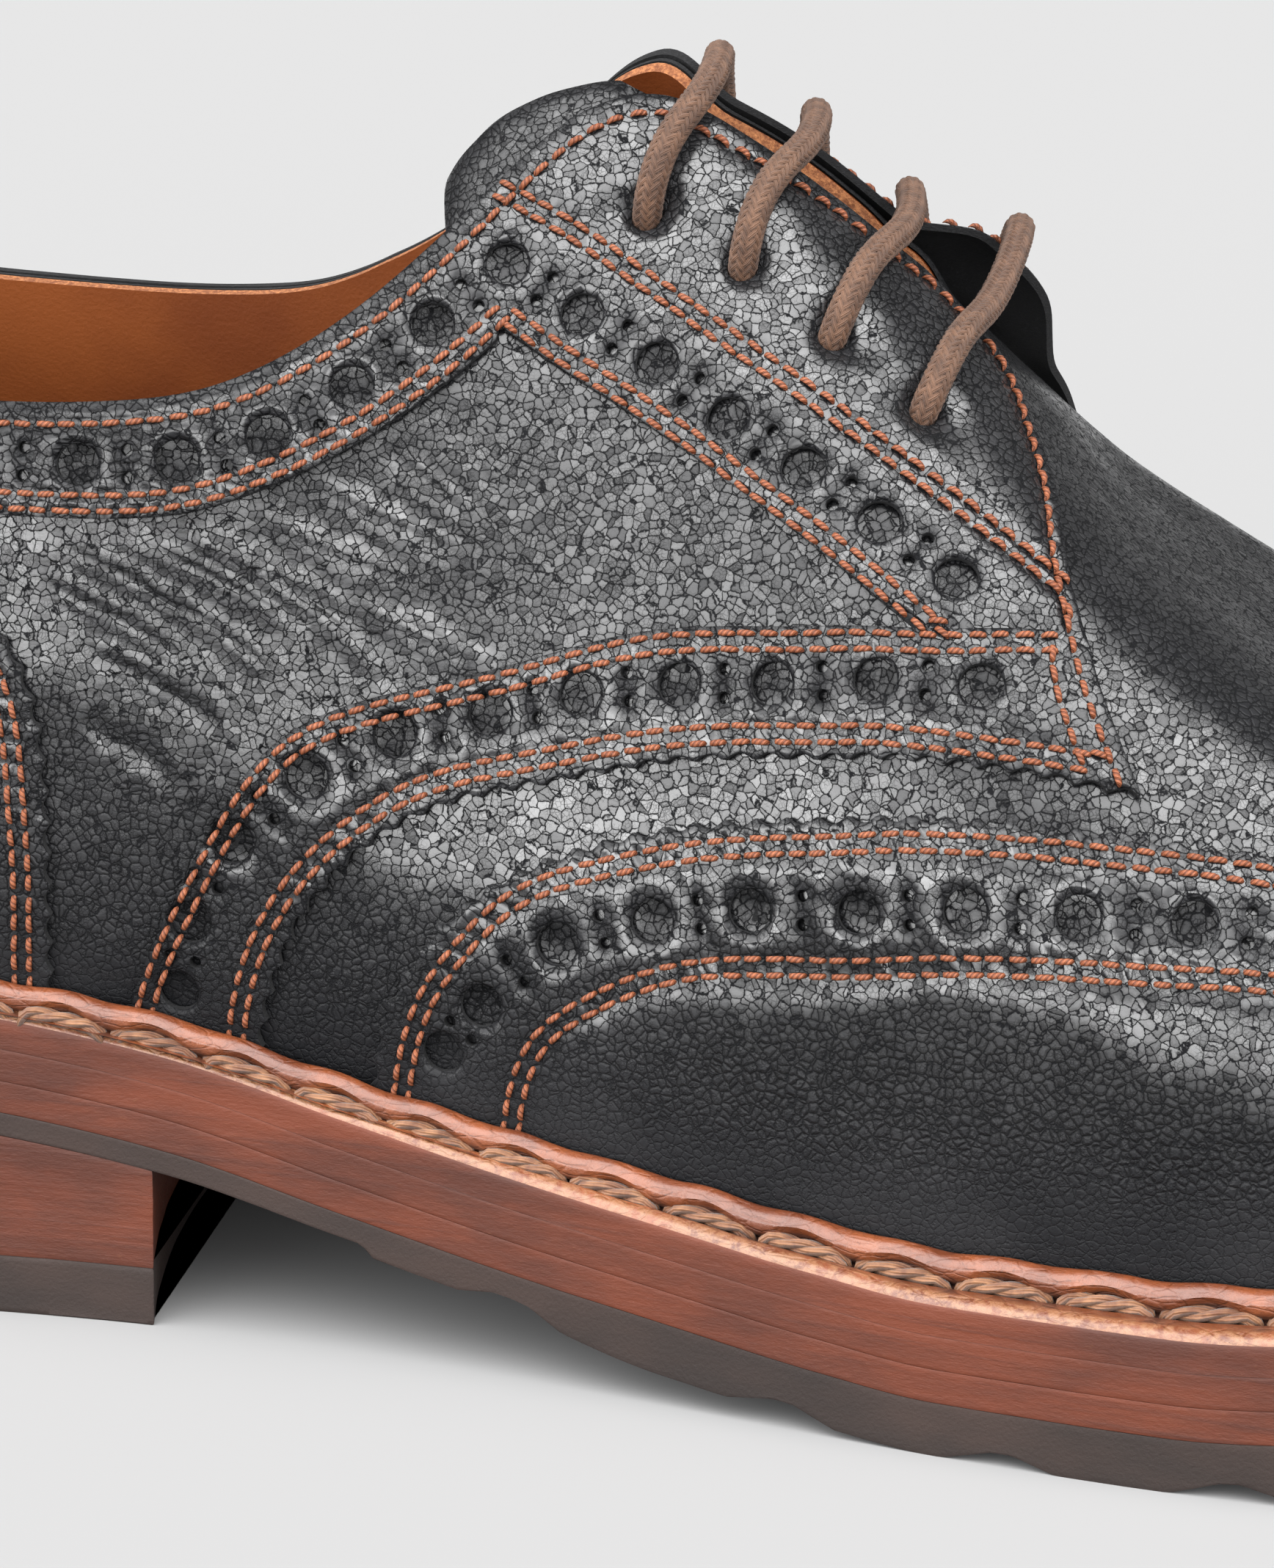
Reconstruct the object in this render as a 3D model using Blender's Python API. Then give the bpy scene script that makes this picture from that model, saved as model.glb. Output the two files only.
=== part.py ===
"""A right brogue shoe as its separate pieces: a lasted hollow upper with its overlays, tongue,
insole, storm welt, two midsole layers, rubber outsole, stacked heel, top piece and lace bars.

X runs from the heel to the toe, Y to the inner side of the foot, Z up from the floor. The pieces are
worked out with X from the back of the heel, then moved so that the origin is under the middle of the
sole. Every length is in metres.
"""
import math

import bmesh
import bpy
import numpy as np
from mathutils.geometry import delaunay_2d_cdt

# Driving sizes of the last and the sole
LENGTH = 0.305            # back of the heel to the toe, over the sole's edge
BALL_WIDTH = 0.1115       # sole's edge to edge across the ball
INSTEP = 0.1008           # welt to the top of the facings
HEEL_RISE = 0.0211        # seat of the heel above the tread of the ball
TOE_SPRING = 0.0133       # tip of the toe above the tread of the ball

# Thickness of each layer, from the floor up
TOP_PIECE = 0.0060        # rubber top piece of the heel
RUBBER_SEAT = 0.0024      # outsole at the heel and waist
RUBBER_TREAD = 0.0053     # outsole at the ball and toe
MIDSOLE = 0.0033          # each of the two leather layers, with the gap over it
WELT = 0.0030             # welt at the edge of the sole
INSOLE = 0.0030           # insole board with its sock
UPPER_WALL = 0.0020       # quarter or vamp with its lining
OVERLAY = 0.0010          # wing cap, straps, facings and counter
TONGUE = 0.0025           # tongue with its lining
LACE = 0.0030             # round lace across
GAP = 0.0003              # between pieces that meet

# The welt's raised lip
WELT_BEVEL = 0.0015       # slope at the welt's outer edge
WELT_STEP = 0.0008        # rise over that slope
LIP_HEIGHT = 0.0028       # lip over the flat of the welt
LIP_THICK = 0.0020        # lip across

# Grooves in the side of the tread
GROOVE_WAIST = 0.392      # the lone one behind the ball, share of LENGTH
GROOVE_FIRST = 0.481      # first of the even row, share of LENGTH
GROOVE_LAST = 0.93        # none past this share of LENGTH
GROOVE_PITCH = 0.0211
GROOVE_DEPTH = 0.0013
GROOVE_REACH = 0.0130     # how far each runs in from the edge
GROOVE_PAST = 0.0040      # how far its cutter stands out past the edge
GROOVE_MOUTH = (-0.0053, 0.0053)   # its cutter's rear and front, three depths under the tread
GROOVE_FLOOR = (-0.0007, 0.0013)   # and at the floor of the groove

# Heel
BREAST_AT = 0.272         # front of the heel, share of LENGTH
BREAST_HOLLOW = 0.0040    # how far the breast curves back at its middle
HEEL_POINTS = 180         # facets round the whole sole, of which the heel takes its share
BREAST_POINTS = 13

# Facings lift off the tongue towards the middle
FACING_LIFT = 0.0022
WELT_HUG = OVERLAY + 2.5 * GAP     # welt's lip from the last, clear of the overlays
BLUNT_END = 4 * GAP                # half width of the flat end of a sole layer
PATTERN_HEIGHT = 1.08 * INSTEP     # way up the upper's side, laid flat

# How finely the curved pieces are faceted
CELL_ALONG = 0.0100       # leather, along the shoe
CELL_UP = 0.0081          # leather, up the shoe
EDGE_CELL = 0.0078        # leather, along a cut edge
KEEP_CLEAR = 0.62         # no inner point this near a cut line, share of CELL_UP
TOE_BRACE = (0.97, 0.92)  # end of the edge that divides the toe's corner
MILLIMETRE = 0.001
SOLE_STATIONS = 44        # sole layers, heel to toe
WELT_STATIONS = 40        # welt, each side
PLAN_POINTS = 1440        # sole's edge, for working out the rest
TONGUE_ROWS = 11
TONGUE_ACROSS = 11

# Edge of the sole seen from above, outer side first: along as a share of LENGTH,
# across as a share of BALL_WIDTH, which is negative on the outer side of the foot
SOLE_EDGE = [
    (0.000, 0.000), (0.034, -0.225), (0.115, -0.318), (0.246, -0.330), (0.361, -0.368),
    (0.475, -0.444), (0.590, -0.511), (0.672, -0.531), (0.770, -0.502), (0.869, -0.408),
    (0.951, -0.262), (0.987, -0.135), (1.000, 0.022), (0.987, 0.172), (0.948, 0.292),
    (0.892, 0.385), (0.787, 0.457),
    (0.705, 0.471), (0.607, 0.430), (0.492, 0.332), (0.377, 0.287), (0.246, 0.305),
    (0.115, 0.312), (0.034, 0.225),
]

# Side view of the sole: along, share of HEEL_RISE, share of TOE_SPRING
SOLE_LINE = [
    (0.000, 1.000, 0.000), (0.098, 0.934, 0.000), (0.220, 0.744, 0.000), (0.279, 0.611, 0.000),
    (0.334, 0.422, 0.000), (0.390, 0.261, 0.000), (0.443, 0.147, 0.000), (0.492, 0.050, 0.000),
    (0.530, 0.000, 0.000), (0.600, 0.000, 0.000), (0.640, 0.000, 0.060), (0.705, 0.000, 0.203),
    (0.787, 0.000, 0.444), (0.869, 0.000, 0.700), (0.951, 0.000, 0.910), (1.000, 0.000, 1.000),
]

# Outsole under the waist and ball: along, share of the way from RUBBER_SEAT to RUBBER_TREAD
TREAD_STEPS = [
    (0.000, 0.00), (0.342, 0.00), (0.346, 0.34), (0.392, 0.40), (0.398, 0.50), (0.443, 1.00),
    (1.000, 1.00),
]

# Feather line, where the upper meets the welt: along, inset from the sole's edge as a share of BALL_WIDTH
FEATHER_INSET = [(0.00, 0.049), (0.25, 0.052), (0.42, 0.067), (0.60, 0.080), (0.85, 0.079), (1.00, 0.077)]

# Sections of the upper from heel to toe, each a curve from the feather line to the crest.
# station: share of the feather line; low_out, low_up: first handle; high_out, high_up: second handle;
# crest_x, crest_y, crest_z: the crest. Outward lengths and crest_y are shares of BALL_WIDTH, heights
# are shares of INSTEP, and crest_x is a share of LENGTH.
SECTIONS = [
    (0.00, 0.076, 0.258, 0.004, -0.258, 0.036, 0.000, 0.740),
    (0.07, 0.081, 0.258, 0.018, -0.238, 0.052, 0.108, 0.742),
    (0.17, 0.081, 0.248, 0.031, -0.238, 0.125, 0.197, 0.757),
    (0.30, 0.085, 0.248, 0.027, -0.198, 0.246, 0.193, 0.832),
    (0.42, 0.090, 0.258, 0.054, -0.179, 0.354, 0.090, 0.961),
    (0.47, 0.090, 0.278, 0.108, -0.070, 0.397, 0.018, 1.000),
    (0.56, 0.090, 0.325, 0.235, 0.000, 0.479, 0.000, 0.870),
    (0.66, 0.083, 0.318, 0.290, 0.000, 0.567, 0.000, 0.676),
    (0.76, 0.076, 0.280, 0.312, 0.000, 0.652, 0.000, 0.492),
    (0.86, 0.074, 0.240, 0.262, 0.000, 0.741, 0.000, 0.372),
    (0.94, 0.072, 0.210, 0.192, 0.000, 0.810, 0.000, 0.306),
    (1.00, 0.072, 0.196, 0.168, 0.000, 0.846, 0.000, 0.276),
]

# Sideways place of the crest's middle: along, share of BALL_WIDTH
CREST_BEND = [(0.00, 0.000), (0.38, 0.000), (0.56, 0.036), (0.75, 0.036), (0.92, 0.022), (1.00, 0.016)]

# Cut lines of the leather: share of the feather line from the heel, share of the way to the crest
TOPLINE = [
    (0.000, 0.865), (0.050, 0.850), (0.105, 0.812), (0.170, 0.756), (0.235, 0.720), (0.296, 0.702),
    (0.330, 0.714), (0.367, 0.757), (0.406, 0.815), (0.436, 0.858), (0.461, 0.890), (0.476, 0.905),
    (0.490, 0.914), (0.505, 0.908), (0.525, 0.900), (0.550, 0.911), (0.576, 0.923),
]
THROAT_END = [(0.576, 0.923), (0.589, 0.942), (0.598, 0.968), (0.602, 1.000)]
QUARTER_FRONT = [
    (0.576, 0.923), (0.593, 0.911), (0.607, 0.884), (0.616, 0.820), (0.620, 0.750), (0.618, 0.671), (0.616, 0.593),
]
STRAP_FRONT = [(0.616, 0.585), (0.615, 0.540), (0.616, 0.494), (0.617, 0.457)]
FACING_LOW = [
    (0.000, 0.700), (0.060, 0.690), (0.150, 0.647), (0.215, 0.616), (0.265, 0.602), (0.310, 0.604),
    (0.350, 0.639), (0.391, 0.686), (0.432, 0.723),
]
FACING_FRONT = [(0.432, 0.723), (0.500, 0.619), (0.561, 0.535), (0.578, 0.549), (0.616, 0.593)]
STRAP_TOP = [
    (0.270, 0.000), (0.280, 0.097), (0.292, 0.195), (0.308, 0.285), (0.338, 0.405), (0.379, 0.457),
    (0.433, 0.474), (0.486, 0.476), (0.558, 0.518), (0.616, 0.585),
]
STRAP_LOW = [
    (0.312, 0.000), (0.318, 0.099), (0.335, 0.233), (0.358, 0.315), (0.389, 0.370), (0.427, 0.387),
    (0.466, 0.391), (0.520, 0.405), (0.555, 0.423), (0.587, 0.442), (0.617, 0.457),
]
WING_TOP = [
    (0.349, 0.000), (0.355, 0.114), (0.363, 0.181), (0.383, 0.264), (0.406, 0.312), (0.439, 0.338),
    (0.475, 0.349), (0.516, 0.363), (0.563, 0.387), (0.599, 0.409), (0.651, 0.436), (0.700, 0.458),
    (0.750, 0.495), (0.795, 0.560), (0.826, 0.650), (0.838, 0.760), (0.828, 0.880), (0.800, 1.000),
]
COUNTER_TOP = [
    (0.000, 0.655), (0.060, 0.648), (0.120, 0.625), (0.180, 0.585), (0.228, 0.530), (0.253, 0.465),
    (0.260, 0.376), (0.259, 0.303), (0.256, 0.217), (0.252, 0.102), (0.250, 0.000),
]

# Eyelets on the outer facing, and how far forward those of the inner facing lie
EYELETS = [(0.479, 0.774), (0.513, 0.742), (0.543, 0.729), (0.574, 0.718)]
EYELET_LEAD = 0.016
LACE_LEAVES = 0.925       # share of the way up at which a bar leaves each facing
LACE_STEP = 0.0066        # length of each straight piece of a bar

# Tongue: station, half width as a share of the way down from the crest
TONGUE_SIDES = [(0.475, 0.250), (0.520, 0.260), (0.570, 0.235), (0.620, 0.190), (0.665, 0.150)]
# Free top of the tongue: step back, rise and narrowing, each from the last section on the crest
TONGUE_TOP = [
    (0.0055, -0.0010, 1.00), (0.0105, -0.0034, 1.02), (0.0142, -0.0070, 1.00), (0.0162, -0.0108, 0.88),
]


def spline(knots, values, level_ends=()):
    """Cubic spline through rows of values; the columns in level_ends start and end level."""
    knots = np.asarray(knots, float)
    values = np.asarray(values, float)
    steps = np.diff(knots)
    count = len(knots)
    bends = np.zeros_like(values)
    for column in range(values.shape[1]):
        value = values[:, column]
        system = np.zeros((count, count))
        target = np.zeros(count)
        for i in range(1, count - 1):
            system[i, i - 1:i + 2] = steps[i - 1], 2 * (steps[i - 1] + steps[i]), steps[i]
            target[i] = 6 * ((value[i + 1] - value[i]) / steps[i] - (value[i] - value[i - 1]) / steps[i - 1])
        system[0, 0] = system[-1, -1] = 1
        if column in level_ends:
            system[0, :2] = 2 * steps[0], steps[0]
            target[0] = 6 * (value[1] - value[0]) / steps[0]
            system[-1, -2:] = steps[-1], 2 * steps[-1]
            target[-1] = -6 * (value[-1] - value[-2]) / steps[-1]
        bends[:, column] = np.linalg.solve(system, target)

    def at(place):
        place = np.clip(np.asarray(place, float), knots[0], knots[-1])
        i = np.clip(np.searchsorted(knots, place, side="right") - 1, 0, count - 2)
        step = steps[i][..., None]
        left = (knots[i + 1] - place)[..., None]
        right = (place - knots[i])[..., None]
        curve = (bends[i] * left ** 3 + bends[i + 1] * right ** 3) / (6 * step)
        curve = curve + (values[i] / step - bends[i] * step / 6) * left
        return curve + (values[i + 1] / step - bends[i + 1] * step / 6) * right

    return at


def curve_through(points, spacing):
    """Points about spacing apart on a smooth open curve through the given ones."""
    points = np.asarray(points, float)
    length = np.concatenate([[0], np.cumsum(np.linalg.norm(np.diff(points, axis=0), axis=1))])
    count = max(2, int(math.ceil(length[-1] / spacing)) + 1)
    return spline(length, points)(np.linspace(0, length[-1], count))


def loop_through(points, count):
    """Points on a smooth closed curve through the given ones, at even steps along its chords."""
    lapped = list(points) * 3
    lapped.append(lapped[0])
    lapped = np.asarray(lapped, float)
    length = np.concatenate([[0], np.cumsum(np.linalg.norm(np.diff(lapped, axis=0), axis=1))])
    first = length[len(points)]
    last = length[2 * len(points)]
    return spline(length, lapped)(np.linspace(first, last, count, endpoint=False))


def even_slope(rows):
    """Curve through a table's rows that never overshoots them; returns a function of the first column."""
    rows = np.asarray(rows, float)
    knots = rows[:, 0]
    values = rows[:, 1:]
    steps = np.diff(knots)[:, None]
    rise = np.diff(values, axis=0) / steps
    slopes = np.zeros_like(values)
    before, after = rise[:-1], rise[1:]
    same = before * after > 0
    near = 2 * steps[1:] + steps[:-1]
    far = steps[1:] + 2 * steps[:-1]
    safe_before = np.where(same, before, 1)
    safe_after = np.where(same, after, 1)
    slopes[1:-1] = np.where(same, (near + far) / (near / safe_before + far / safe_after), 0)
    slopes[0], slopes[-1] = rise[0], rise[-1]

    def at(place):
        place = np.clip(np.asarray(place, float), knots[0], knots[-1])
        i = np.clip(np.searchsorted(knots, place, side="right") - 1, 0, len(knots) - 2)
        step = steps[i][..., 0][..., None]
        t = (place - knots[i])[..., None] / step
        start = (1 + 2 * t) * (1 - t) ** 2 * values[i] + t * (1 - t) ** 2 * step * slopes[i]
        end = t * t * (3 - 2 * t) * values[i + 1] + t * t * (t - 1) * step * slopes[i + 1]
        return start + end

    return at


def smooth(share):
    """Soft step from 0 to 1."""
    share = np.clip(share, 0, 1)
    return share * share * (3 - 2 * share)


# Side view of the sole's layers

_sole_line = even_slope(SOLE_LINE)
_tread_steps = even_slope(TREAD_STEPS)


def outsole_top(x):
    """Height where the rubber meets the lower leather layer."""
    shares = _sole_line(np.asarray(x) / LENGTH)
    return RUBBER_TREAD + shares[..., 0] * HEEL_RISE + shares[..., 1] * TOE_SPRING


def outsole_bottom(x):
    share = _tread_steps(np.asarray(x) / LENGTH)[..., 0]
    return outsole_top(x) - RUBBER_SEAT - share * (RUBBER_TREAD - RUBBER_SEAT)


def welt_bottom(x):
    return outsole_top(x) + 2 * MIDSOLE


def welt_edge(x):
    """Top of the welt's outer edge, below its slope."""
    return welt_bottom(x) + WELT


# Plan of the sole and feather line

def sole_plan(count=PLAN_POINTS):
    """The sole's edge as a loop with its outward directions."""
    edge = loop_through([(a * LENGTH, b * BALL_WIDTH) for a, b in SOLE_EDGE], count)
    along = np.roll(edge, -1, 0) - np.roll(edge, 1, 0)
    along /= np.linalg.norm(along, axis=1, keepdims=True)
    return edge, np.stack([along[:, 1], -along[:, 0]], 1)


def half_plans():
    """Outer and inner half of the feather line from heel to toe, with outward directions and sole edge."""
    edge, outward = sole_plan()
    inset = even_slope(FEATHER_INSET)(edge[:, 0] / LENGTH) * BALL_WIDTH
    feather = edge - outward * inset
    toe = int(np.argmax(feather[:, 0]))
    outer_half = np.arange(0, toe + 1)
    inner_half = np.concatenate([[0], np.arange(len(edge) - 1, toe - 1, -1)])
    halves = []
    for picks in (outer_half, inner_half):
        line = feather[picks]
        length = np.concatenate([[0], np.cumsum(np.linalg.norm(np.diff(line, axis=0), axis=1))])
        halves.append((length / length[-1], np.hstack([line, outward[picks], edge[picks]]), length[-1]))
    return halves


def under_middle():
    """Point on the floor under the middle of the sole."""
    edge, _ = sole_plan()
    return np.array([*(edge.min(axis=0) + edge.max(axis=0)) / 2, 0.0])


ORIGIN = under_middle()
HALVES = half_plans()
FEATHER_LENGTH = HALVES[0][2]


def plan_at(side, s):
    """Feather point, outward direction and sole edge at share s of one side, 0 outer or 1 inner."""
    shares, rows, _ = HALVES[side]
    picked = np.stack([np.interp(s, shares, rows[:, i]) for i in range(6)], -1)
    picked[..., 2:4] /= np.linalg.norm(picked[..., 2:4], axis=-1, keepdims=True)
    return picked


# The last: one function gives every point of the upper

_rows = np.asarray(SECTIONS, float)
_scale = np.array([BALL_WIDTH, INSTEP, BALL_WIDTH, INSTEP, LENGTH, BALL_WIDTH, INSTEP])
_section_at = spline(_rows[:, 0], _rows[:, 1:] * _scale, level_ends=(0, 1, 2, 3, 4, 6))
_crest_bend = even_slope(CREST_BEND)


def crest(s):
    """Middle line of the last's top, and how far its two sides stand apart there."""
    row = _section_at(s)
    x = row[..., 4]
    middle = _crest_bend(x / LENGTH)[..., 0] * BALL_WIDTH
    return x, middle, welt_edge(x) + row[..., 6], np.maximum(row[..., 5], 0)


def crest_slope(s):
    step = 1e-3
    back, ahead = crest(np.clip(s - step, 0, 1)), crest(np.clip(s + step, 0, 1))
    return (ahead[2] - back[2]) / np.maximum(ahead[0] - back[0], 1e-7)


def last_point(side, s, v):
    """Point of the last at share s of the feather line and share v of the way up to the crest."""
    s, v = np.broadcast_arrays(np.asarray(s, float), np.asarray(v, float))
    sign = -1 if side == 0 else 1
    plan = plan_at(side, s)
    row = _section_at(s)
    x, middle, z, apart = crest(s)
    start = np.stack([plan[..., 0], plan[..., 1], welt_bottom(plan[..., 0]) + GAP], -1)
    out = plan[..., 2:4]
    low = start + np.concatenate([row[..., 0:1] * out, row[..., 1:2]], -1)
    end = np.stack([x, middle + sign * apart, z], -1)
    fall = row[..., 3] + row[..., 2] * out[..., 0] * np.where(s > 0.5, crest_slope(s), 0)
    high = end + np.concatenate([row[..., 2:3] * out, fall[..., None]], -1)
    t = v[..., None]
    return (1 - t) ** 3 * start + 3 * t * (1 - t) ** 2 * low + 3 * t * t * (1 - t) * high + t ** 3 * end


def last_normal(side, s, v):
    """Outward direction of the last."""
    step = 1e-3
    s, v = np.broadcast_arrays(np.asarray(s, float), np.asarray(v, float))
    along = last_point(side, np.clip(s + step, 0, 1), v) - last_point(side, np.clip(s - step, 0, 1), v)
    up = last_point(side, s, np.clip(v + step, 0, 1)) - last_point(side, s, np.clip(v - step, 0, 1))
    normal = np.cross(along, up) * (1 if side == 0 else -1)
    on_ridge = (v > 0.999) & (s > 0.5)
    slope = crest_slope(s)
    ridge = np.stack([-slope, np.zeros_like(slope), np.ones_like(slope)], -1)
    normal = np.where(on_ridge[..., None], ridge, normal)
    on_middle = ((s < 1e-6) | (s > 1 - 1e-6))
    normal[..., 1] = np.where(on_middle, 0, normal[..., 1])
    return normal / np.linalg.norm(normal, axis=-1, keepdims=True)


def facing_lift(s, v):
    """How far the facings stand off the last beside the throat."""
    return FACING_LIFT * smooth((v - 0.60) / 0.36) * smooth((s - 0.43) / 0.10)


def wall_lift(s, v):
    """The same for the wall under the facings, which comes down to the vamp ahead of them."""
    return facing_lift(s, v) * (1 - smooth((s - 0.555) / 0.043))


def offset_point(side, s, v, offset):
    return last_point(side, s, v) + last_normal(side, s, v) * np.asarray(offset)[..., None]


# Leather pieces cut from one flat pattern

PATTERN_SCALE = np.array([FEATHER_LENGTH, PATTERN_HEIGHT])


def inside(points, loop):
    """Which flat points lie in a closed loop."""
    x, y = points[:, 0], points[:, 1]
    hit = np.zeros(len(points), bool)
    ahead = np.roll(loop, -1, 0)
    for (x0, y0), (x1, y1) in zip(loop, ahead):
        if y0 == y1:
            continue
        crosses = (y0 > y) != (y1 > y)
        hit ^= crosses & (x < (x1 - x0) * (y - y0) / (y1 - y0) + x0)
    return hit


def pattern_lines():
    """Every cut line in flat lengths."""
    tables = {
        "topline": TOPLINE, "throat_end": THROAT_END, "quarter_front": QUARTER_FRONT,
        "strap_front": STRAP_FRONT, "facing_low": FACING_LOW, "facing_front": FACING_FRONT,
        "strap_top": STRAP_TOP, "strap_low": STRAP_LOW, "wing_top": WING_TOP, "counter_top": COUNTER_TOP,
    }
    return {name: curve_through(np.array(rows) * PATTERN_SCALE, EDGE_CELL) for name, rows in tables.items()}


def straight(start, end, spacing):
    start, end = np.array(start) * PATTERN_SCALE, np.array(end) * PATTERN_SCALE
    count = max(2, int(math.ceil(np.linalg.norm(end - start) / spacing)) + 1)
    return np.linspace(start, end, count)


def pattern_loops(lines):
    """Outline of each leather piece on the flat pattern."""
    heel, toe_low, toe_high = np.array([(0, 0), (1, 0), (1, 1)]) * PATTERN_SCALE
    back = {name: line[::-1] for name, line in lines.items()}
    return {
        "upper": np.vstack([heel, toe_low, toe_high, back["throat_end"], back["topline"]]),
        "facing": np.vstack([
            lines["topline"], lines["quarter_front"], back["facing_front"], back["facing_low"]]),
        "strap": np.vstack([lines["strap_top"], lines["strap_front"], back["strap_low"]]),
        "wing_cap": np.vstack([lines["wing_top"], toe_high, toe_low]),
        "heel_counter": np.vstack([lines["counter_top"], heel]),
    }


def flat_pattern():
    """One triangulated flat pattern that holds every cut line."""
    lines = pattern_lines()
    loops = pattern_loops(lines)
    chains = list(lines.values())
    chains.append(straight((0, 0), (1, 0), CELL_ALONG))
    chains.append(straight((1, 0), (1, 1), CELL_UP))
    chains.append(straight((1, 1), (0, 1), CELL_ALONG))
    chains.append(straight((0, 1), (0, 0), CELL_UP))
    chains.append(straight((1, 1), TOE_BRACE, CELL_UP))
    points, edges = [], []
    for chain in chains:
        first = len(points)
        points.extend(chain)
        edges.extend((first + i, first + i + 1) for i in range(len(chain) - 1))
    fixed = np.array(points)
    rows = int(round(PATTERN_SCALE[1] / CELL_UP))
    columns = int(round(PATTERN_SCALE[0] / CELL_ALONG))
    for j in range(1, rows):
        for i in range(columns):
            spot = np.array([(i + (0.5 if j % 2 else 1.0)) / columns, j / rows]) * PATTERN_SCALE
            clear = np.min(np.linalg.norm(fixed - spot, axis=1)) > KEEP_CLEAR * CELL_UP
            if clear and spot[0] < PATTERN_SCALE[0] - CELL_UP / 2:
                points.append(spot)
    flat = [tuple(p / MILLIMETRE) for p in points]
    result = delaunay_2d_cdt(flat, edges, [], 0, 1e-4)
    verts = np.array([tuple(v) for v in result[0]]) * MILLIMETRE
    faces = np.array([tuple(f) for f in result[2] if len(f) == 3])
    turn = np.cross(verts[faces[:, 1]] - verts[faces[:, 0]], verts[faces[:, 2]] - verts[faces[:, 0]])
    faces = np.where(turn[:, None] < 0, faces[:, ::-1], faces)
    shares = {name: loop / PATTERN_SCALE for name, loop in loops.items()}
    return verts / PATTERN_SCALE, faces[np.abs(turn) > 1e-10], shares


def faces_of(pattern, name):
    verts, faces, loops = pattern
    return faces[inside(verts[faces].mean(axis=1), loops[name])]


def leather_solid(pattern, name, sides, inner, outer):
    """Closed wall over a pattern piece, between two offsets from the last, on one or both sides."""
    verts, _, _ = pattern
    faces = faces_of(pattern, name)
    used = np.unique(faces)
    s, v = verts[used, 0], verts[used, 1]
    spots = {side: [offset_point(side, s, v, layer(s, v)) for layer in (inner, outer)] for side in sides}
    joined = (s < 1e-6) | (s > 1 - 1e-6) | ((v > 1 - 1e-6) & (s > 0.5))
    if len(sides) == 2:
        for layer in (0, 1):
            middle = (spots[0][layer] + spots[1][layer]) / 2
            for side in sides:
                spots[side][layer] = np.where(joined[:, None], middle, spots[side][layer])
    order = {index: place for place, index in enumerate(used)}
    numbers, points, triangles, rims = {}, [], [], {}

    def vertex(side, index, layer):
        place = order[index]
        key = (side if not joined[place] else 0, index, layer)
        if key not in numbers:
            numbers[key] = len(points)
            points.append(spots[side][layer][place])
        return numbers[key]

    for side in sides:
        for face in faces:
            turn = face if side == 0 else face[::-1]
            high = [vertex(side, i, 1) for i in turn]
            low = [vertex(side, i, 0) for i in turn]
            triangles += [high, low[::-1]]
            for i in range(3):
                j = (i + 1) % 3
                rims[(high[i], high[j])] = (low[i], low[j])
    for (a, b), (c, d) in rims.items():
        if (b, a) not in rims:
            triangles += [[b, a, c], [b, c, d]]
    return points, triangles


# Blender objects

def placed(points):
    """Points moved so that the origin is under the middle of the sole."""
    return (np.asarray(points, float) - ORIGIN).tolist()


def add_object(name, points, faces, finish, sharp=35):
    mesh = bpy.data.meshes.new(name)
    mesh.from_pydata(placed(points), [], [tuple(map(int, f)) for f in faces])
    mesh.validate()
    mesh.shade_smooth()
    mesh.set_sharp_from_angle(angle=math.radians(sharp))
    mesh.materials.append(finish)
    thing = bpy.data.objects.new(name, mesh)
    bpy.context.scene.collection.objects.link(thing)
    return thing


def make_finish(name, colour, roughness):
    finish = bpy.data.materials.new(name)
    finish.use_nodes = True
    shader = finish.node_tree.nodes["Principled BSDF"]
    shader.inputs["Base Color"].default_value = (*colour, 1)
    shader.inputs["Roughness"].default_value = roughness
    shader.inputs["Metallic"].default_value = 0
    return finish


def constant(value):
    return lambda s, v: np.full(np.shape(s), value)


def make_leather(pattern, black):
    """Hollow wall of the upper and the pieces sewn over it."""
    both = (0, 1)
    points, faces = leather_solid(
        pattern, "upper", both, lambda s, v: wall_lift(s, v) - UPPER_WALL, wall_lift)
    add_object("upper", points, faces, black)
    over = (lambda s, v: facing_lift(s, v) + GAP, lambda s, v: facing_lift(s, v) + GAP + OVERLAY)
    flat = (constant(GAP), constant(GAP + OVERLAY))
    for name in ("wing_cap", "heel_counter"):
        points, faces = leather_solid(pattern, name, both, *flat)
        add_object(name, points, faces, black)
    for side, label in ((0, "lateral"), (1, "medial")):
        for piece in ("facing", "strap"):
            points, faces = leather_solid(pattern, piece, (side,), *over)
            if piece == "facing":
                points = clear_back_seam(points, side)
            add_object(f"{piece}_{label}", points, faces, black)


def clear_back_seam(points, side):
    """Keep each facing half a gap from the middle of the heel, where the two meet."""
    limit = GAP / 2
    moved = []
    for point in points:
        behind = point[0] < LENGTH / 8
        y = point[1]
        if behind:
            y = min(y, -limit) if side == 0 else max(y, limit)
        moved.append((point[0], y, point[2]))
    return moved


# Sole layers

def eased(start, end):
    """Places from start to end, closer together towards both."""
    share = 0.5 - 0.5 * np.cos(np.linspace(0, math.pi, SOLE_STATIONS))
    return start + share * (end - start)


def sole_sides():
    """The sole's edge from heel to toe, outer half then inner half."""
    edge, _ = sole_plan()
    toe = int(np.argmax(edge[:, 0]))
    heel = int(np.argmin(edge[:, 0]))
    outer = np.roll(edge, -heel, 0)[:(toe - heel) % len(edge) + 1]
    inner = np.roll(edge, -toe, 0)[:(heel - toe) % len(edge) + 1][::-1]
    return outer, inner


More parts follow.
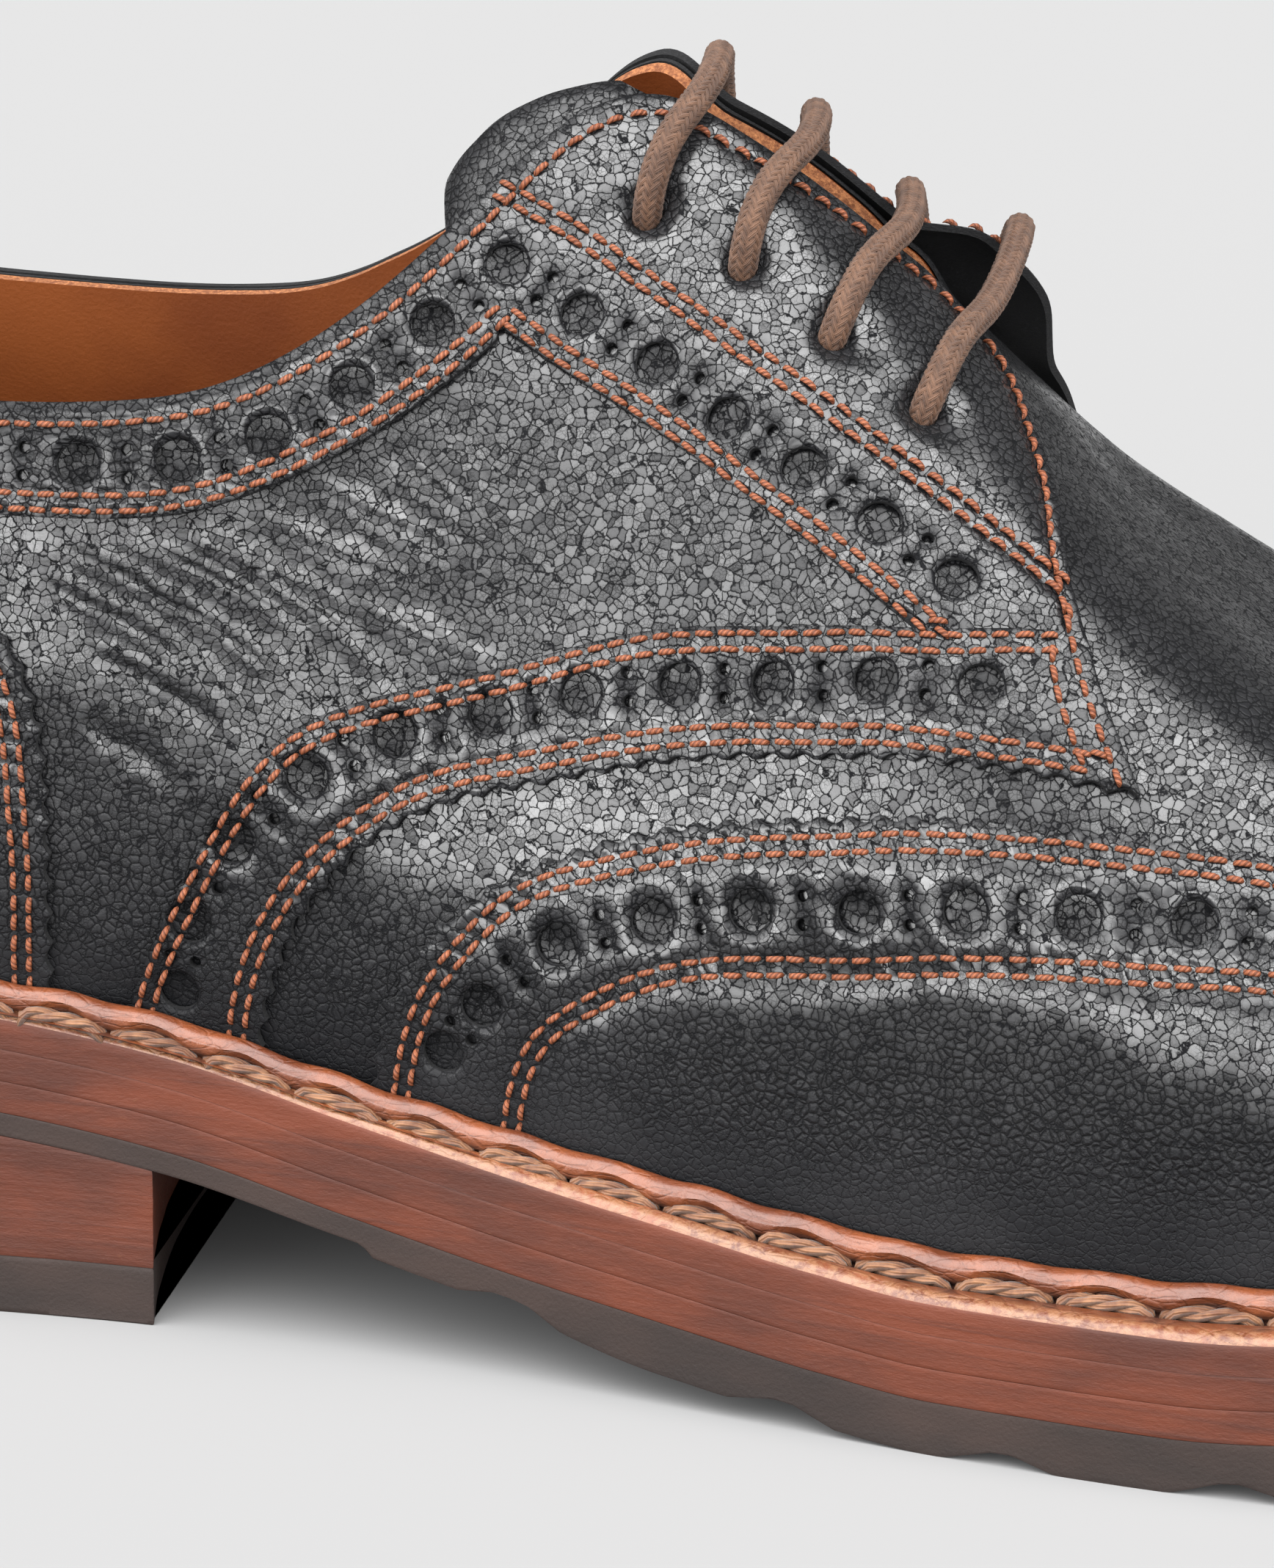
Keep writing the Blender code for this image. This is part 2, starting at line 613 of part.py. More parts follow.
def stations():
    """Places along the sole, closer together at its round ends, with the edge on each side."""
    outer, inner = sole_sides()
    x = eased(outer[0, 0], outer[-1, 0])
    return x, np.interp(x, outer[:, 0], outer[:, 1]), np.interp(x, inner[:, 0], inner[:, 1])


def layer_solid(x, outer, inner, bottom, top):
    """Closed layer between two heights that follow x; the end stations close to one edge each."""
    points, faces = [], []
    for i in range(len(x)):
        for y in (outer[i], inner[i]):
            points.append((x[i], y, bottom[i]))
            points.append((x[i], y, top[i]))
    for i in range(len(x) - 1):
        a, b = 4 * i, 4 * (i + 1)
        faces += [(a, a + 2, b + 2, b), (a + 1, b + 1, b + 3, a + 3)]
        faces += [(a, b, b + 1, a + 1), (a + 2, a + 3, b + 3, b + 2)]
    last = 4 * (len(x) - 1)
    faces += [(0, 1, 3, 2), (last, last + 2, last + 3, last + 1)]
    return points, triangles_of(points, faces)


def triangles_of(points, faces):
    mesh = bmesh.new()
    verts = [mesh.verts.new(p) for p in points]
    for face in faces:
        mesh.faces.new([verts[i] for i in face])
    mesh.verts.ensure_lookup_table()
    bmesh.ops.triangulate(mesh, faces=mesh.faces[:], quad_method="FIXED")
    mesh.verts.index_update()
    result = [tuple(v.index for v in f.verts) for f in mesh.faces]
    mesh.free()
    return result


def blunt(outer, inner):
    """Open the two ends of a layer to a narrow flat."""
    for end in (0, -1):
        middle = (outer[end] + inner[end]) / 2
        outer[end] = middle - BLUNT_END
        inner[end] = middle + BLUNT_END


def sole_layer(name, bottom, top, finish):
    x, outer, inner = stations()
    blunt(outer, inner)
    points, faces = layer_solid(x, outer, inner, bottom(x), top(x))
    return add_object(name, points, faces, finish, 30)


def make_midsoles(leather):
    for level, name in ((0, "midsole_lower"), (1, "midsole_upper")):
        low = level * MIDSOLE
        high = low + MIDSOLE - GAP
        sole_layer(name, lambda x: outsole_top(x) + low, lambda x: outsole_top(x) + high, leather)


def groove_cutter():
    """Short sloping grooves in from both edges of the tread."""
    points, faces = [], []
    places = [GROOVE_WAIST * LENGTH, *np.arange(GROOVE_FIRST * LENGTH, GROOVE_LAST * LENGTH, GROOVE_PITCH)]
    x, outer, inner = stations()
    for place in places:
        tread = float(outsole_bottom(place))
        low, high = tread - 3 * GROOVE_DEPTH, tread + GROOVE_DEPTH
        section = [(GROOVE_MOUTH[0], low), (GROOVE_MOUTH[1], low)]
        section += [(GROOVE_FLOOR[1], high), (GROOVE_FLOOR[0], high)]
        for side, line in ((-1, outer), (1, inner)):
            edge_y = np.interp(place, x, line)
            start = len(points)
            for y in (edge_y + side * GROOVE_PAST, edge_y - side * GROOVE_REACH):
                points += [(place + along, y, z) for along, z in section]
            corners = [(start + i, start + (i + 1) % 4) for i in range(4)]
            faces += [(a, b, b + 4, a + 4) for a, b in corners]
            faces += [(start + 3, start + 2, start + 1, start), (start + 4, start + 5, start + 6, start + 7)]
    return points, faces


def as_cutter(name, points, faces):
    mesh = bpy.data.meshes.new(name)
    mesh.from_pydata(placed(points), [], faces)
    work = bmesh.new()
    work.from_mesh(mesh)
    bmesh.ops.recalc_face_normals(work, faces=work.faces[:])
    work.to_mesh(mesh)
    work.free()
    cutter = bpy.data.objects.new(name, mesh)
    cutter.hide_render = True
    cutter.display_type = "WIRE"
    bpy.context.scene.collection.objects.link(cutter)
    return cutter


def cut(target, cutter):
    modifier = target.modifiers.new("cut", "BOOLEAN")
    modifier.operation = "DIFFERENCE"
    modifier.solver = "EXACT"
    modifier.object = cutter


def make_outsole(rubber):
    sole = sole_layer("outsole", outsole_bottom, lambda x: outsole_top(x) - GAP, rubber)
    cut(sole, as_cutter("tread_grooves", *groove_cutter()))


def heel_loop():
    """Heel seen from above, with its hollow breast."""
    edge, _ = sole_plan(HEEL_POINTS)
    breast = BREAST_AT * LENGTH
    kept = edge[edge[:, 0] < breast - GAP]
    outer = kept[kept[:, 1] < 0]
    inner = kept[kept[:, 1] >= 0]
    outer = outer[np.argsort(outer[:, 0])]
    inner = inner[np.argsort(-inner[:, 0])]
    y0, y1 = [np.interp(breast, line[:, 0], line[:, 1]) for line in sole_sides()]
    across = np.linspace(-1, 1, BREAST_POINTS)
    curve = [(breast - BREAST_HOLLOW * (1 - a * a), (y0 + y1) / 2 + a * (y1 - y0) / 2) for a in across]
    return np.vstack([outer, curve, inner])


def prism(loop, bottom, top):
    count = len(loop)
    points = [(x, y, bottom) for x, y in loop] + [(x, y, top) for x, y in loop]
    faces = [tuple(range(count))[::-1], tuple(range(count, 2 * count))]
    faces += [(i, (i + 1) % count, count + (i + 1) % count, count + i) for i in range(count)]
    return points, triangles_of(points, faces)


def make_heel(leather, rubber):
    loop = heel_loop()
    points, faces = prism(loop, 0.0, TOP_PIECE - GAP)
    add_object("heel_top_piece", points, faces, rubber, 30)
    points, faces = prism(loop, TOP_PIECE, float(outsole_top(0.0)))
    stack = add_object("heel_stack", points, faces, leather, 30)
    x, _, _ = stations()
    seat = outsole_bottom(x) - GAP
    x[0] -= HEEL_RISE
    side = np.full_like(x, BALL_WIDTH)
    points, faces = layer_solid(x, -side, side, seat, np.full_like(x, 3 * HEEL_RISE))
    cut(stack, as_cutter("heel_seat", points, faces))


# Welt, insole, tongue and laces

def height_share(side, s, height, offset):
    """Share of the way up at which the offset last reaches a height over the welt's edge."""
    v = np.linspace(0, 0.3, 61)
    wall = offset_point(side, np.full_like(v, s), v, np.full_like(v, offset))
    return np.interp(height, wall[:, 2] - welt_edge(wall[:, 0]), v)


def welt_section(side, s):
    """Section of the welt from its lower outer corner round to its lower inner corner."""
    plan = plan_at(side, np.array(s))
    edge, out = plan[4:6], plan[2:4]
    lip = WELT_STEP + LIP_HEIGHT
    wall = []
    for height in (lip, WELT_STEP, -WELT / 2):
        v = height_share(side, s, height, WELT_HUG)
        wall.append(offset_point(side, np.array(s), np.array(v), WELT_HUG))
    foot = offset_point(side, np.array(s), np.array(0.0), WELT_HUG)
    crown = wall[0] + np.array([*(out * LIP_THICK * 0.55), LIP_THICK * 0.12])
    shoulder = wall[0] + np.array([*(out * LIP_THICK), -LIP_THICK * 0.35])
    root = wall[1] + np.array([*(out * LIP_THICK), 0.0])
    root[2] = welt_edge(root[0]) + WELT_STEP
    bevel = np.array([*(edge - out * WELT_BEVEL), 0.0])
    bevel[2] = welt_edge(bevel[0]) + WELT_STEP
    inner_low = np.array([foot[0], foot[1], float(welt_bottom(foot[0]))])
    outer_low = np.array([*edge, float(welt_bottom(edge[0]))])
    outer_top = np.array([*edge, float(welt_edge(edge[0]))])
    return [outer_low, outer_top, bevel, root, shoulder, crown, *wall, inner_low]


def make_welt(leather):
    shares = np.linspace(0, 1, WELT_STATIONS)
    sections = [welt_section(0, s) for s in shares] + [welt_section(1, s) for s in shares[-2:0:-1]]
    count = len(sections[0])
    points = [p for section in sections for p in section]
    faces = []
    for i in range(len(sections)):
        a, b = i * count, (i + 1) % len(sections) * count
        for j in range(count):
            k = (j + 1) % count
            faces.append((a + j, b + j, b + k, a + k))
    add_object("welt", points, triangles_of(points, faces), leather, 30)


def make_insole(tan):
    """Insole and sock inside the foot of the upper."""
    shares = np.linspace(0, 1, WELT_STATIONS)
    room = UPPER_WALL + GAP
    sides = [plan_at(side, shares) for side in (0, 1)]
    lines = [plan[:, 0:2] - plan[:, 2:4] * room for plan in sides]
    x = eased(lines[0][0, 0], lines[0][-1, 0])
    outer = np.interp(x, lines[0][:, 0], lines[0][:, 1])
    inner = np.interp(x, lines[1][:, 0], lines[1][:, 1])
    blunt(outer, inner)
    base = welt_bottom(x)
    points, faces = layer_solid(x, outer, inner, base + GAP, base + GAP + INSOLE)
    add_object("insole", points, faces, tan, 30)


def make_tongue(black):
    """Tongue under the facings, with its free top behind the lace."""
    table = even_slope(TONGUE_SIDES)
    rows = np.linspace(TONGUE_SIDES[-1][0], TONGUE_SIDES[0][0], TONGUE_ROWS)
    across = np.linspace(-1, 1, TONGUE_ACROSS)
    shell = -UPPER_WALL - GAP
    layers = []
    for depth in (shell, shell - TONGUE):
        grid = []
        for s in rows:
            half = float(table(s)[0])
            line = []
            for a in across:
                side = 0 if a < 0 else 1
                line.append(offset_point(side, np.array(s), np.array(1 - half * abs(a)), np.array(depth)))
            grid.append(np.array(line))
        base = grid[-1]
        middle = base[len(across) // 2]
        for back, rise, narrow in TONGUE_TOP:
            line = middle + (base - middle) * np.array([1, narrow, narrow])
            grid.append(line + np.array([-back, 0, rise]))
        layers.append(np.array(grid))
    top, low = layers
    n, m = top.shape[:2]
    points = np.vstack([top.reshape(-1, 3), low.reshape(-1, 3)])
    faces = []
    for i in range(n - 1):
        for j in range(m - 1):
            a, b, c, d = i * m + j, i * m + j + 1, (i + 1) * m + j + 1, (i + 1) * m + j
            faces.append((a, b, c, d))
            faces.append(tuple(n * m + k for k in (d, c, b, a)))
    rim = [j for j in range(m)] + [i * m + m - 1 for i in range(1, n)]
    rim += [(n - 1) * m + j for j in range(m - 2, -1, -1)] + [i * m for i in range(n - 2, 0, -1)]
    for a, b in zip(rim, rim[1:] + rim[:1]):
        faces.append((b, a, n * m + a, n * m + b))
    add_object("tongue", points, triangles_of([tuple(p) for p in points], faces), black)


def lace_route(eyelet):
    """Middle line of one bar from the outer eyelet over both facings to the inner one."""
    s, v = eyelet
    clear = GAP + OVERLAY + 2 * GAP + LACE / 2
    shares = v + (LACE_LEAVES - v) * np.array([0.0, 0.2, 0.46, 0.73, 1.0])
    route = []
    for side, lead in ((0, 0.0), (1, EYELET_LEAD)):
        place = np.full_like(shares, s + lead)
        route.append(offset_point(side, place, shares, facing_lift(place, shares) + clear))
    return np.vstack([route[0], route[1][::-1]])


def make_laces(brown):
    for number, eyelet in enumerate(EYELETS, 1):
        points = placed(curve_through(lace_route(eyelet), LACE_STEP))
        curve = bpy.data.curves.new(f"lace_bar_{number}", "CURVE")
        curve.dimensions = "3D"
        curve.bevel_depth = LACE / 2
        curve.bevel_resolution = 2
        curve.use_fill_caps = True
        run = curve.splines.new("POLY")
        run.points.add(len(points) - 1)
        for spot, place in zip(run.points, points):
            spot.co = (*place, 1)
        curve.materials.append(brown)
        bar = bpy.data.objects.new(f"lace_bar_{number}", curve)
        bpy.context.scene.collection.objects.link(bar)


def main():
    for thing in list(bpy.data.objects):
        bpy.data.objects.remove(thing, do_unlink=True)
    black = make_finish("black_grain_leather", (0.012, 0.012, 0.013), 0.42)
    tan = make_finish("tan_leather", (0.42, 0.19, 0.07), 0.6)
    edge = make_finish("red_brown_sole_leather", (0.17, 0.055, 0.03), 0.5)
    rubber = make_finish("grey_rubber", (0.09, 0.075, 0.07), 0.7)
    brown = make_finish("brown_lace", (0.10, 0.05, 0.03), 0.8)
    make_leather(flat_pattern(), black)
    make_tongue(black)
    make_insole(tan)
    make_welt(tan)
    make_midsoles(edge)
    make_outsole(rubber)
    make_heel(edge, rubber)
    make_laces(brown)


main()
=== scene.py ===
"""Looks of the brogue shoe: grained leather panels with their brogue holes, pinked edges and stitches,
the storm welt with its thick thread, waxed sole edges, rubber tread, stacked heel, lining and braided lace.

Lengths are in metres. Places on the upper are shares: along the feather line from heel to toe, and up
the side from the feather line to the crest. Side 0 is the outer side of the foot and side 1 the inner.
"""
import math

import bmesh
import bpy
import numpy as np
from mathutils import Matrix, Vector
from mathutils.geometry import delaunay_2d_cdt
from mathutils.kdtree import KDTree


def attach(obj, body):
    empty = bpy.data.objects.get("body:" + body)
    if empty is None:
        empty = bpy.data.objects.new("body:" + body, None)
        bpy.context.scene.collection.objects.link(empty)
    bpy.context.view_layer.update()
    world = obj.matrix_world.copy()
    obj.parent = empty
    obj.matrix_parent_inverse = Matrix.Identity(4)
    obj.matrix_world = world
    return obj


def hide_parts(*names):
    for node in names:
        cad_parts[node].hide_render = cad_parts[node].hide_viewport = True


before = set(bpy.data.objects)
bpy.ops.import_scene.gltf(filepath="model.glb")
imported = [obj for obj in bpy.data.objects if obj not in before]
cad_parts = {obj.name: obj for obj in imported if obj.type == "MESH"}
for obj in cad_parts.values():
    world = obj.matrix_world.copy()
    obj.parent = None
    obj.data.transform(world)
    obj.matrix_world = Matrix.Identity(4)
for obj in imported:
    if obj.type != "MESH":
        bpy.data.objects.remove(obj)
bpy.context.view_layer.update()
bpy.ops.object.select_all(action="DESELECT")

MM = 0.001

# Sizes of the last and sole, as in the part
LENGTH = 0.305
BALL_WIDTH = 0.1115
INSTEP = 0.1008
HEEL_RISE = 0.0211
TOE_SPRING = 0.0133
TOP_PIECE = 0.0060
RUBBER_SEAT = 0.0024
RUBBER_TREAD = 0.0053
MIDSOLE = 0.0033
WELT = 0.0030
INSOLE = 0.0030
UPPER_WALL = 0.0020
OVERLAY = 0.0010
TONGUE = 0.0025
LACE = 0.0030
GAP = 0.0003
WELT_BEVEL = 0.0015
WELT_STEP = 0.0008
LIP_HEIGHT = 0.0028
LIP_THICK = 0.0020
FACING_LIFT = 0.0022
BREAST_AT = 0.272
BREAST_HOLLOW = 0.0040
PATTERN_HEIGHT = 1.08 * INSTEP
WELT_HUG = OVERLAY + 2.5 * GAP

# Edge of the sole seen from above, outer side first: along as a share of LENGTH,
# across as a share of BALL_WIDTH, which is negative on the outer side of the foot
SOLE_EDGE = [
    (0.000, 0.000), (0.034, -0.225), (0.115, -0.318), (0.246, -0.330), (0.361, -0.368),
    (0.475, -0.444), (0.590, -0.511), (0.672, -0.531), (0.770, -0.502), (0.869, -0.408),
    (0.951, -0.262), (0.987, -0.135), (1.000, 0.022), (0.987, 0.172), (0.948, 0.292),
    (0.892, 0.385), (0.787, 0.457),
    (0.705, 0.471), (0.607, 0.430), (0.492, 0.332), (0.377, 0.287), (0.246, 0.305),
    (0.115, 0.312), (0.034, 0.225),
]

# Side view of the sole: along, share of HEEL_RISE, share of TOE_SPRING
SOLE_LINE = [
    (0.000, 1.000, 0.000), (0.098, 0.934, 0.000), (0.220, 0.744, 0.000), (0.279, 0.611, 0.000),
    (0.334, 0.422, 0.000), (0.390, 0.261, 0.000), (0.443, 0.147, 0.000), (0.492, 0.050, 0.000),
    (0.530, 0.000, 0.000), (0.600, 0.000, 0.000), (0.640, 0.000, 0.060), (0.705, 0.000, 0.203),
    (0.787, 0.000, 0.444), (0.869, 0.000, 0.700), (0.951, 0.000, 0.910), (1.000, 0.000, 1.000),
]

# Outsole under the waist and ball: along, share of the way from RUBBER_SEAT to RUBBER_TREAD
TREAD_STEPS = [
    (0.000, 0.00), (0.342, 0.00), (0.346, 0.34), (0.392, 0.40), (0.398, 0.50), (0.443, 1.00),
    (1.000, 1.00),
]

# Feather line, where the upper meets the welt: along, inset from the sole's edge as a share of BALL_WIDTH
FEATHER_INSET = [(0.00, 0.049), (0.25, 0.052), (0.42, 0.067), (0.60, 0.080), (0.85, 0.079), (1.00, 0.077)]

# Sections of the upper from heel to toe, each a curve from the feather line to the crest.
# station: share of the feather line; low_out, low_up: first handle; high_out, high_up: second handle;
# crest_x, crest_y, crest_z: the crest. Outward lengths and crest_y are shares of BALL_WIDTH, heights
# are shares of INSTEP, and crest_x is a share of LENGTH.
SECTIONS = [
    (0.00, 0.076, 0.258, 0.004, -0.258, 0.036, 0.000, 0.740),
    (0.07, 0.081, 0.258, 0.018, -0.238, 0.052, 0.108, 0.742),
    (0.17, 0.081, 0.248, 0.031, -0.238, 0.125, 0.197, 0.757),
    (0.30, 0.085, 0.248, 0.027, -0.198, 0.246, 0.193, 0.832),
    (0.42, 0.090, 0.258, 0.054, -0.179, 0.354, 0.090, 0.961),
    (0.47, 0.090, 0.278, 0.108, -0.070, 0.397, 0.018, 1.000),
    (0.56, 0.090, 0.325, 0.235, 0.000, 0.479, 0.000, 0.870),
    (0.66, 0.083, 0.318, 0.290, 0.000, 0.567, 0.000, 0.676),
    (0.76, 0.076, 0.280, 0.312, 0.000, 0.652, 0.000, 0.492),
    (0.86, 0.074, 0.240, 0.262, 0.000, 0.741, 0.000, 0.372),
    (0.94, 0.072, 0.210, 0.192, 0.000, 0.810, 0.000, 0.306),
    (1.00, 0.072, 0.196, 0.168, 0.000, 0.846, 0.000, 0.276),
]

# Sideways place of the crest's middle: along, share of BALL_WIDTH
CREST_BEND = [(0.00, 0.000), (0.38, 0.000), (0.56, 0.036), (0.75, 0.036), (0.92, 0.022), (1.00, 0.016)]

# Cut lines of the leather: share of the feather line from the heel, share of the way to the crest
TOPLINE = [
    (0.000, 0.865), (0.050, 0.850), (0.105, 0.812), (0.170, 0.756), (0.235, 0.720), (0.296, 0.702),
    (0.330, 0.714), (0.367, 0.757), (0.406, 0.815), (0.436, 0.858), (0.461, 0.890), (0.476, 0.905),
    (0.490, 0.914), (0.505, 0.908), (0.525, 0.900), (0.550, 0.911), (0.576, 0.923),
]
THROAT_END = [(0.576, 0.923), (0.589, 0.942), (0.598, 0.968), (0.602, 1.000)]
QUARTER_FRONT = [
    (0.576, 0.923), (0.593, 0.911), (0.607, 0.884), (0.616, 0.820), (0.620, 0.750), (0.618, 0.671),
    (0.616, 0.593),
]
STRAP_FRONT = [(0.616, 0.585), (0.615, 0.540), (0.616, 0.494), (0.617, 0.457)]
STRAP_LOW = [
    (0.312, 0.000), (0.318, 0.099), (0.335, 0.233), (0.358, 0.315), (0.389, 0.370), (0.427, 0.387),
    (0.466, 0.391), (0.520, 0.405), (0.555, 0.423), (0.587, 0.442), (0.617, 0.457),
]
WING_TOP = [
    (0.349, 0.000), (0.355, 0.114), (0.363, 0.181), (0.383, 0.264), (0.406, 0.312), (0.439, 0.338),
    (0.475, 0.349), (0.516, 0.363), (0.563, 0.387), (0.599, 0.409), (0.651, 0.436), (0.700, 0.458),
    (0.750, 0.495), (0.795, 0.560), (0.826, 0.650), (0.838, 0.760), (0.828, 0.880), (0.800, 1.000),
]
COUNTER_TOP = [
    (0.000, 0.655), (0.060, 0.648), (0.120, 0.625), (0.180, 0.585), (0.228, 0.530), (0.253, 0.465),
    (0.260, 0.376), (0.259, 0.303), (0.256, 0.217), (0.252, 0.102), (0.250, 0.000),
]

# Eyelets on the outer facing. Those of the inner facing lie ahead of them by a lead. A bar of the lace
# leans over that lead between the eyelets and the places where it leaves each facing.
EYELETS = [(0.484, 0.775), (0.518, 0.753), (0.548, 0.737), (0.578, 0.729)]
EYELET_LEADS = (0.020, 0.016, 0.020, 0.020)
LACE_LEAVES = (0.900, 0.900, 0.900, 0.890)   # share of the way up
LACE_LEAN = 0.80                             # share of the lead made on the outer facing

# The upper half of the inner side stands a little higher than the solid: along, share of the way up.
# The vamp lies a little lower than the solid.
FAR_RISE = [
    (0.00, 0.000), (0.08, 0.045), (0.13, 0.042), (0.18, 0.024), (0.30, 0.019), (0.36, 0.016), (0.42, 0.000),
]
FAR_OPEN = 0.0040         # how far the inner facing's corner stands open
VAMP_SETTLE = 0.0040      # how far the vamp lies below the solid's crest

# Tongue: station, half width as a share of the way down from the crest
TONGUE_SIDES = [(0.475, 0.250), (0.520, 0.260), (0.570, 0.235), (0.620, 0.190), (0.665, 0.150)]
# Free top of the tongue: step back, rise and narrowing, each from the last section on the crest
TONGUE_TOP = [
    (0.0055, -0.0010, 1.00), (0.0105, -0.0034, 1.02), (0.0142, -0.0070, 1.00), (0.0162, -0.0108, 0.88),
]


def spline(knots, values, level_ends=()):
    """Cubic spline through rows of values; the columns in level_ends start and end level."""
    knots = np.asarray(knots, float)
    values = np.asarray(values, float)
    steps = np.diff(knots)
    count = len(knots)
    bends = np.zeros_like(values)
    for column in range(values.shape[1]):
        value = values[:, column]
        system = np.zeros((count, count))
        target = np.zeros(count)
        for i in range(1, count - 1):
            system[i, i - 1:i + 2] = steps[i - 1], 2 * (steps[i - 1] + steps[i]), steps[i]
            target[i] = 6 * ((value[i + 1] - value[i]) / steps[i] - (value[i] - value[i - 1]) / steps[i - 1])
        system[0, 0] = system[-1, -1] = 1
        if column in level_ends:
            system[0, :2] = 2 * steps[0], steps[0]
            target[0] = 6 * (value[1] - value[0]) / steps[0]
            system[-1, -2:] = steps[-1], 2 * steps[-1]
            target[-1] = -6 * (value[-1] - value[-2]) / steps[-1]
        bends[:, column] = np.linalg.solve(system, target)

    def at(place):
        place = np.clip(np.asarray(place, float), knots[0], knots[-1])
        i = np.clip(np.searchsorted(knots, place, side="right") - 1, 0, count - 2)
        step = steps[i][..., None]
        left = (knots[i + 1] - place)[..., None]
        right = (place - knots[i])[..., None]
        curve = (bends[i] * left ** 3 + bends[i + 1] * right ** 3) / (6 * step)
        curve = curve + (values[i] / step - bends[i] * step / 6) * left
        return curve + (values[i + 1] / step - bends[i + 1] * step / 6) * right

    return at


def curve_through(points, spacing):
    """Points about spacing apart on a smooth open curve through the given ones."""
    points = np.asarray(points, float)
    length = walked(points)
    count = max(2, int(math.ceil(length[-1] / spacing)) + 1)
    return spline(length, points)(np.linspace(0, length[-1], count))


def loop_through(points, count):
    """Points on a smooth closed curve through the given ones, at even steps along its chords."""
    lapped = list(points) * 3
    lapped.append(lapped[0])
    lapped = np.asarray(lapped, float)
    length = walked(lapped)
    first = length[len(points)]
    last = length[2 * len(points)]
    return spline(length, lapped)(np.linspace(first, last, count, endpoint=False))


def even_slope(rows):
    """Curve through a table's rows that never overshoots them; returns a function of the first column."""
    rows = np.asarray(rows, float)
    knots = rows[:, 0]
    values = rows[:, 1:]
    steps = np.diff(knots)[:, None]
    rise = np.diff(values, axis=0) / steps
    slopes = np.zeros_like(values)
    before, after = rise[:-1], rise[1:]
    same = before * after > 0
    near = 2 * steps[1:] + steps[:-1]
    far = steps[1:] + 2 * steps[:-1]
    safe_before = np.where(same, before, 1)
    safe_after = np.where(same, after, 1)
    slopes[1:-1] = np.where(same, (near + far) / (near / safe_before + far / safe_after), 0)
    slopes[0], slopes[-1] = rise[0], rise[-1]

    def at(place):
        place = np.clip(np.asarray(place, float), knots[0], knots[-1])
        i = np.clip(np.searchsorted(knots, place, side="right") - 1, 0, len(knots) - 2)
        step = steps[i][..., 0][..., None]
        t = (place - knots[i])[..., None] / step
        start = (1 + 2 * t) * (1 - t) ** 2 * values[i] + t * (1 - t) ** 2 * step * slopes[i]
        end = t * t * (3 - 2 * t) * values[i + 1] + t * t * (t - 1) * step * slopes[i + 1]
        return start + end

    return at


def smooth(share):
    """Soft step from 0 to 1."""
    share = np.clip(share, 0, 1)
    return share * share * (3 - 2 * share)


def walked(points):
    """Length of the line through points, up to each of them."""
    return np.concatenate([[0], np.cumsum(np.linalg.norm(np.diff(points, axis=0), axis=1))])


def unit(vectors):
    """The same directions, each of length 1."""
    return vectors / np.linalg.norm(vectors, axis=-1, keepdims=True)


def circle(turn, first, second):
    """Points at angles round a circle that two directions span."""
    return np.cos(turn)[:, None] * first + np.sin(turn)[:, None] * second


def round_angles(count):
    return np.linspace(0, 2 * math.pi, count, endpoint=False)


# Side view of the sole's layers

_sole_line = even_slope(SOLE_LINE)
_tread_steps = even_slope(TREAD_STEPS)


def outsole_top(x):
    """Height where the rubber meets the lower leather layer."""
    shares = _sole_line(np.asarray(x) / LENGTH)
    return RUBBER_TREAD + shares[..., 0] * HEEL_RISE + shares[..., 1] * TOE_SPRING


def outsole_bottom(x):
    share = _tread_steps(np.asarray(x) / LENGTH)[..., 0]
    return outsole_top(x) - RUBBER_SEAT - share * (RUBBER_TREAD - RUBBER_SEAT)


def welt_bottom(x):
    return outsole_top(x) + 2 * MIDSOLE


def welt_edge(x):
    """Top of the welt's outer edge, below its slope."""
    return welt_bottom(x) + WELT


# Plan of the sole and feather line

PLAN_POINTS = 1440


def sole_plan():
    """The sole's edge as a loop with its outward directions."""
    edge = loop_through([(a * LENGTH, b * BALL_WIDTH) for a, b in SOLE_EDGE], PLAN_POINTS)
    along = unit(np.roll(edge, -1, 0) - np.roll(edge, 1, 0))
    return edge, np.stack([along[:, 1], -along[:, 0]], 1)


def half_plans():
    """Outer and inner half of the feather line from heel to toe, with outward directions and sole edge."""
    edge, outward = sole_plan()
    inset = even_slope(FEATHER_INSET)(edge[:, 0] / LENGTH) * BALL_WIDTH
    feather = edge - outward * inset
    toe = int(np.argmax(feather[:, 0]))
    outer_half = np.arange(0, toe + 1)
    inner_half = np.concatenate([[0], np.arange(len(edge) - 1, toe - 1, -1)])
    halves = []
    for picks in (outer_half, inner_half):
        line = feather[picks]
        length = walked(line)
        halves.append((length / length[-1], np.hstack([line, outward[picks], edge[picks]]), length[-1]))
    return halves


def under_middle():
    """Point on the floor under the middle of the sole."""
    edge, _ = sole_plan()
    return np.array([*(edge.min(axis=0) + edge.max(axis=0)) / 2, 0.0])


ORIGIN = under_middle()
HALVES = half_plans()
FEATHER_LENGTH = HALVES[0][2]


def plan_at(side, s):
    """Feather point, outward direction and sole edge at share s of one side, 0 outer or 1 inner."""
    shares, rows, _ = HALVES[side]
    picked = np.stack([np.interp(s, shares, rows[:, i]) for i in range(6)], -1)
    picked[..., 2:4] = unit(picked[..., 2:4])
    return picked


# The last: one function gives every point of the upper

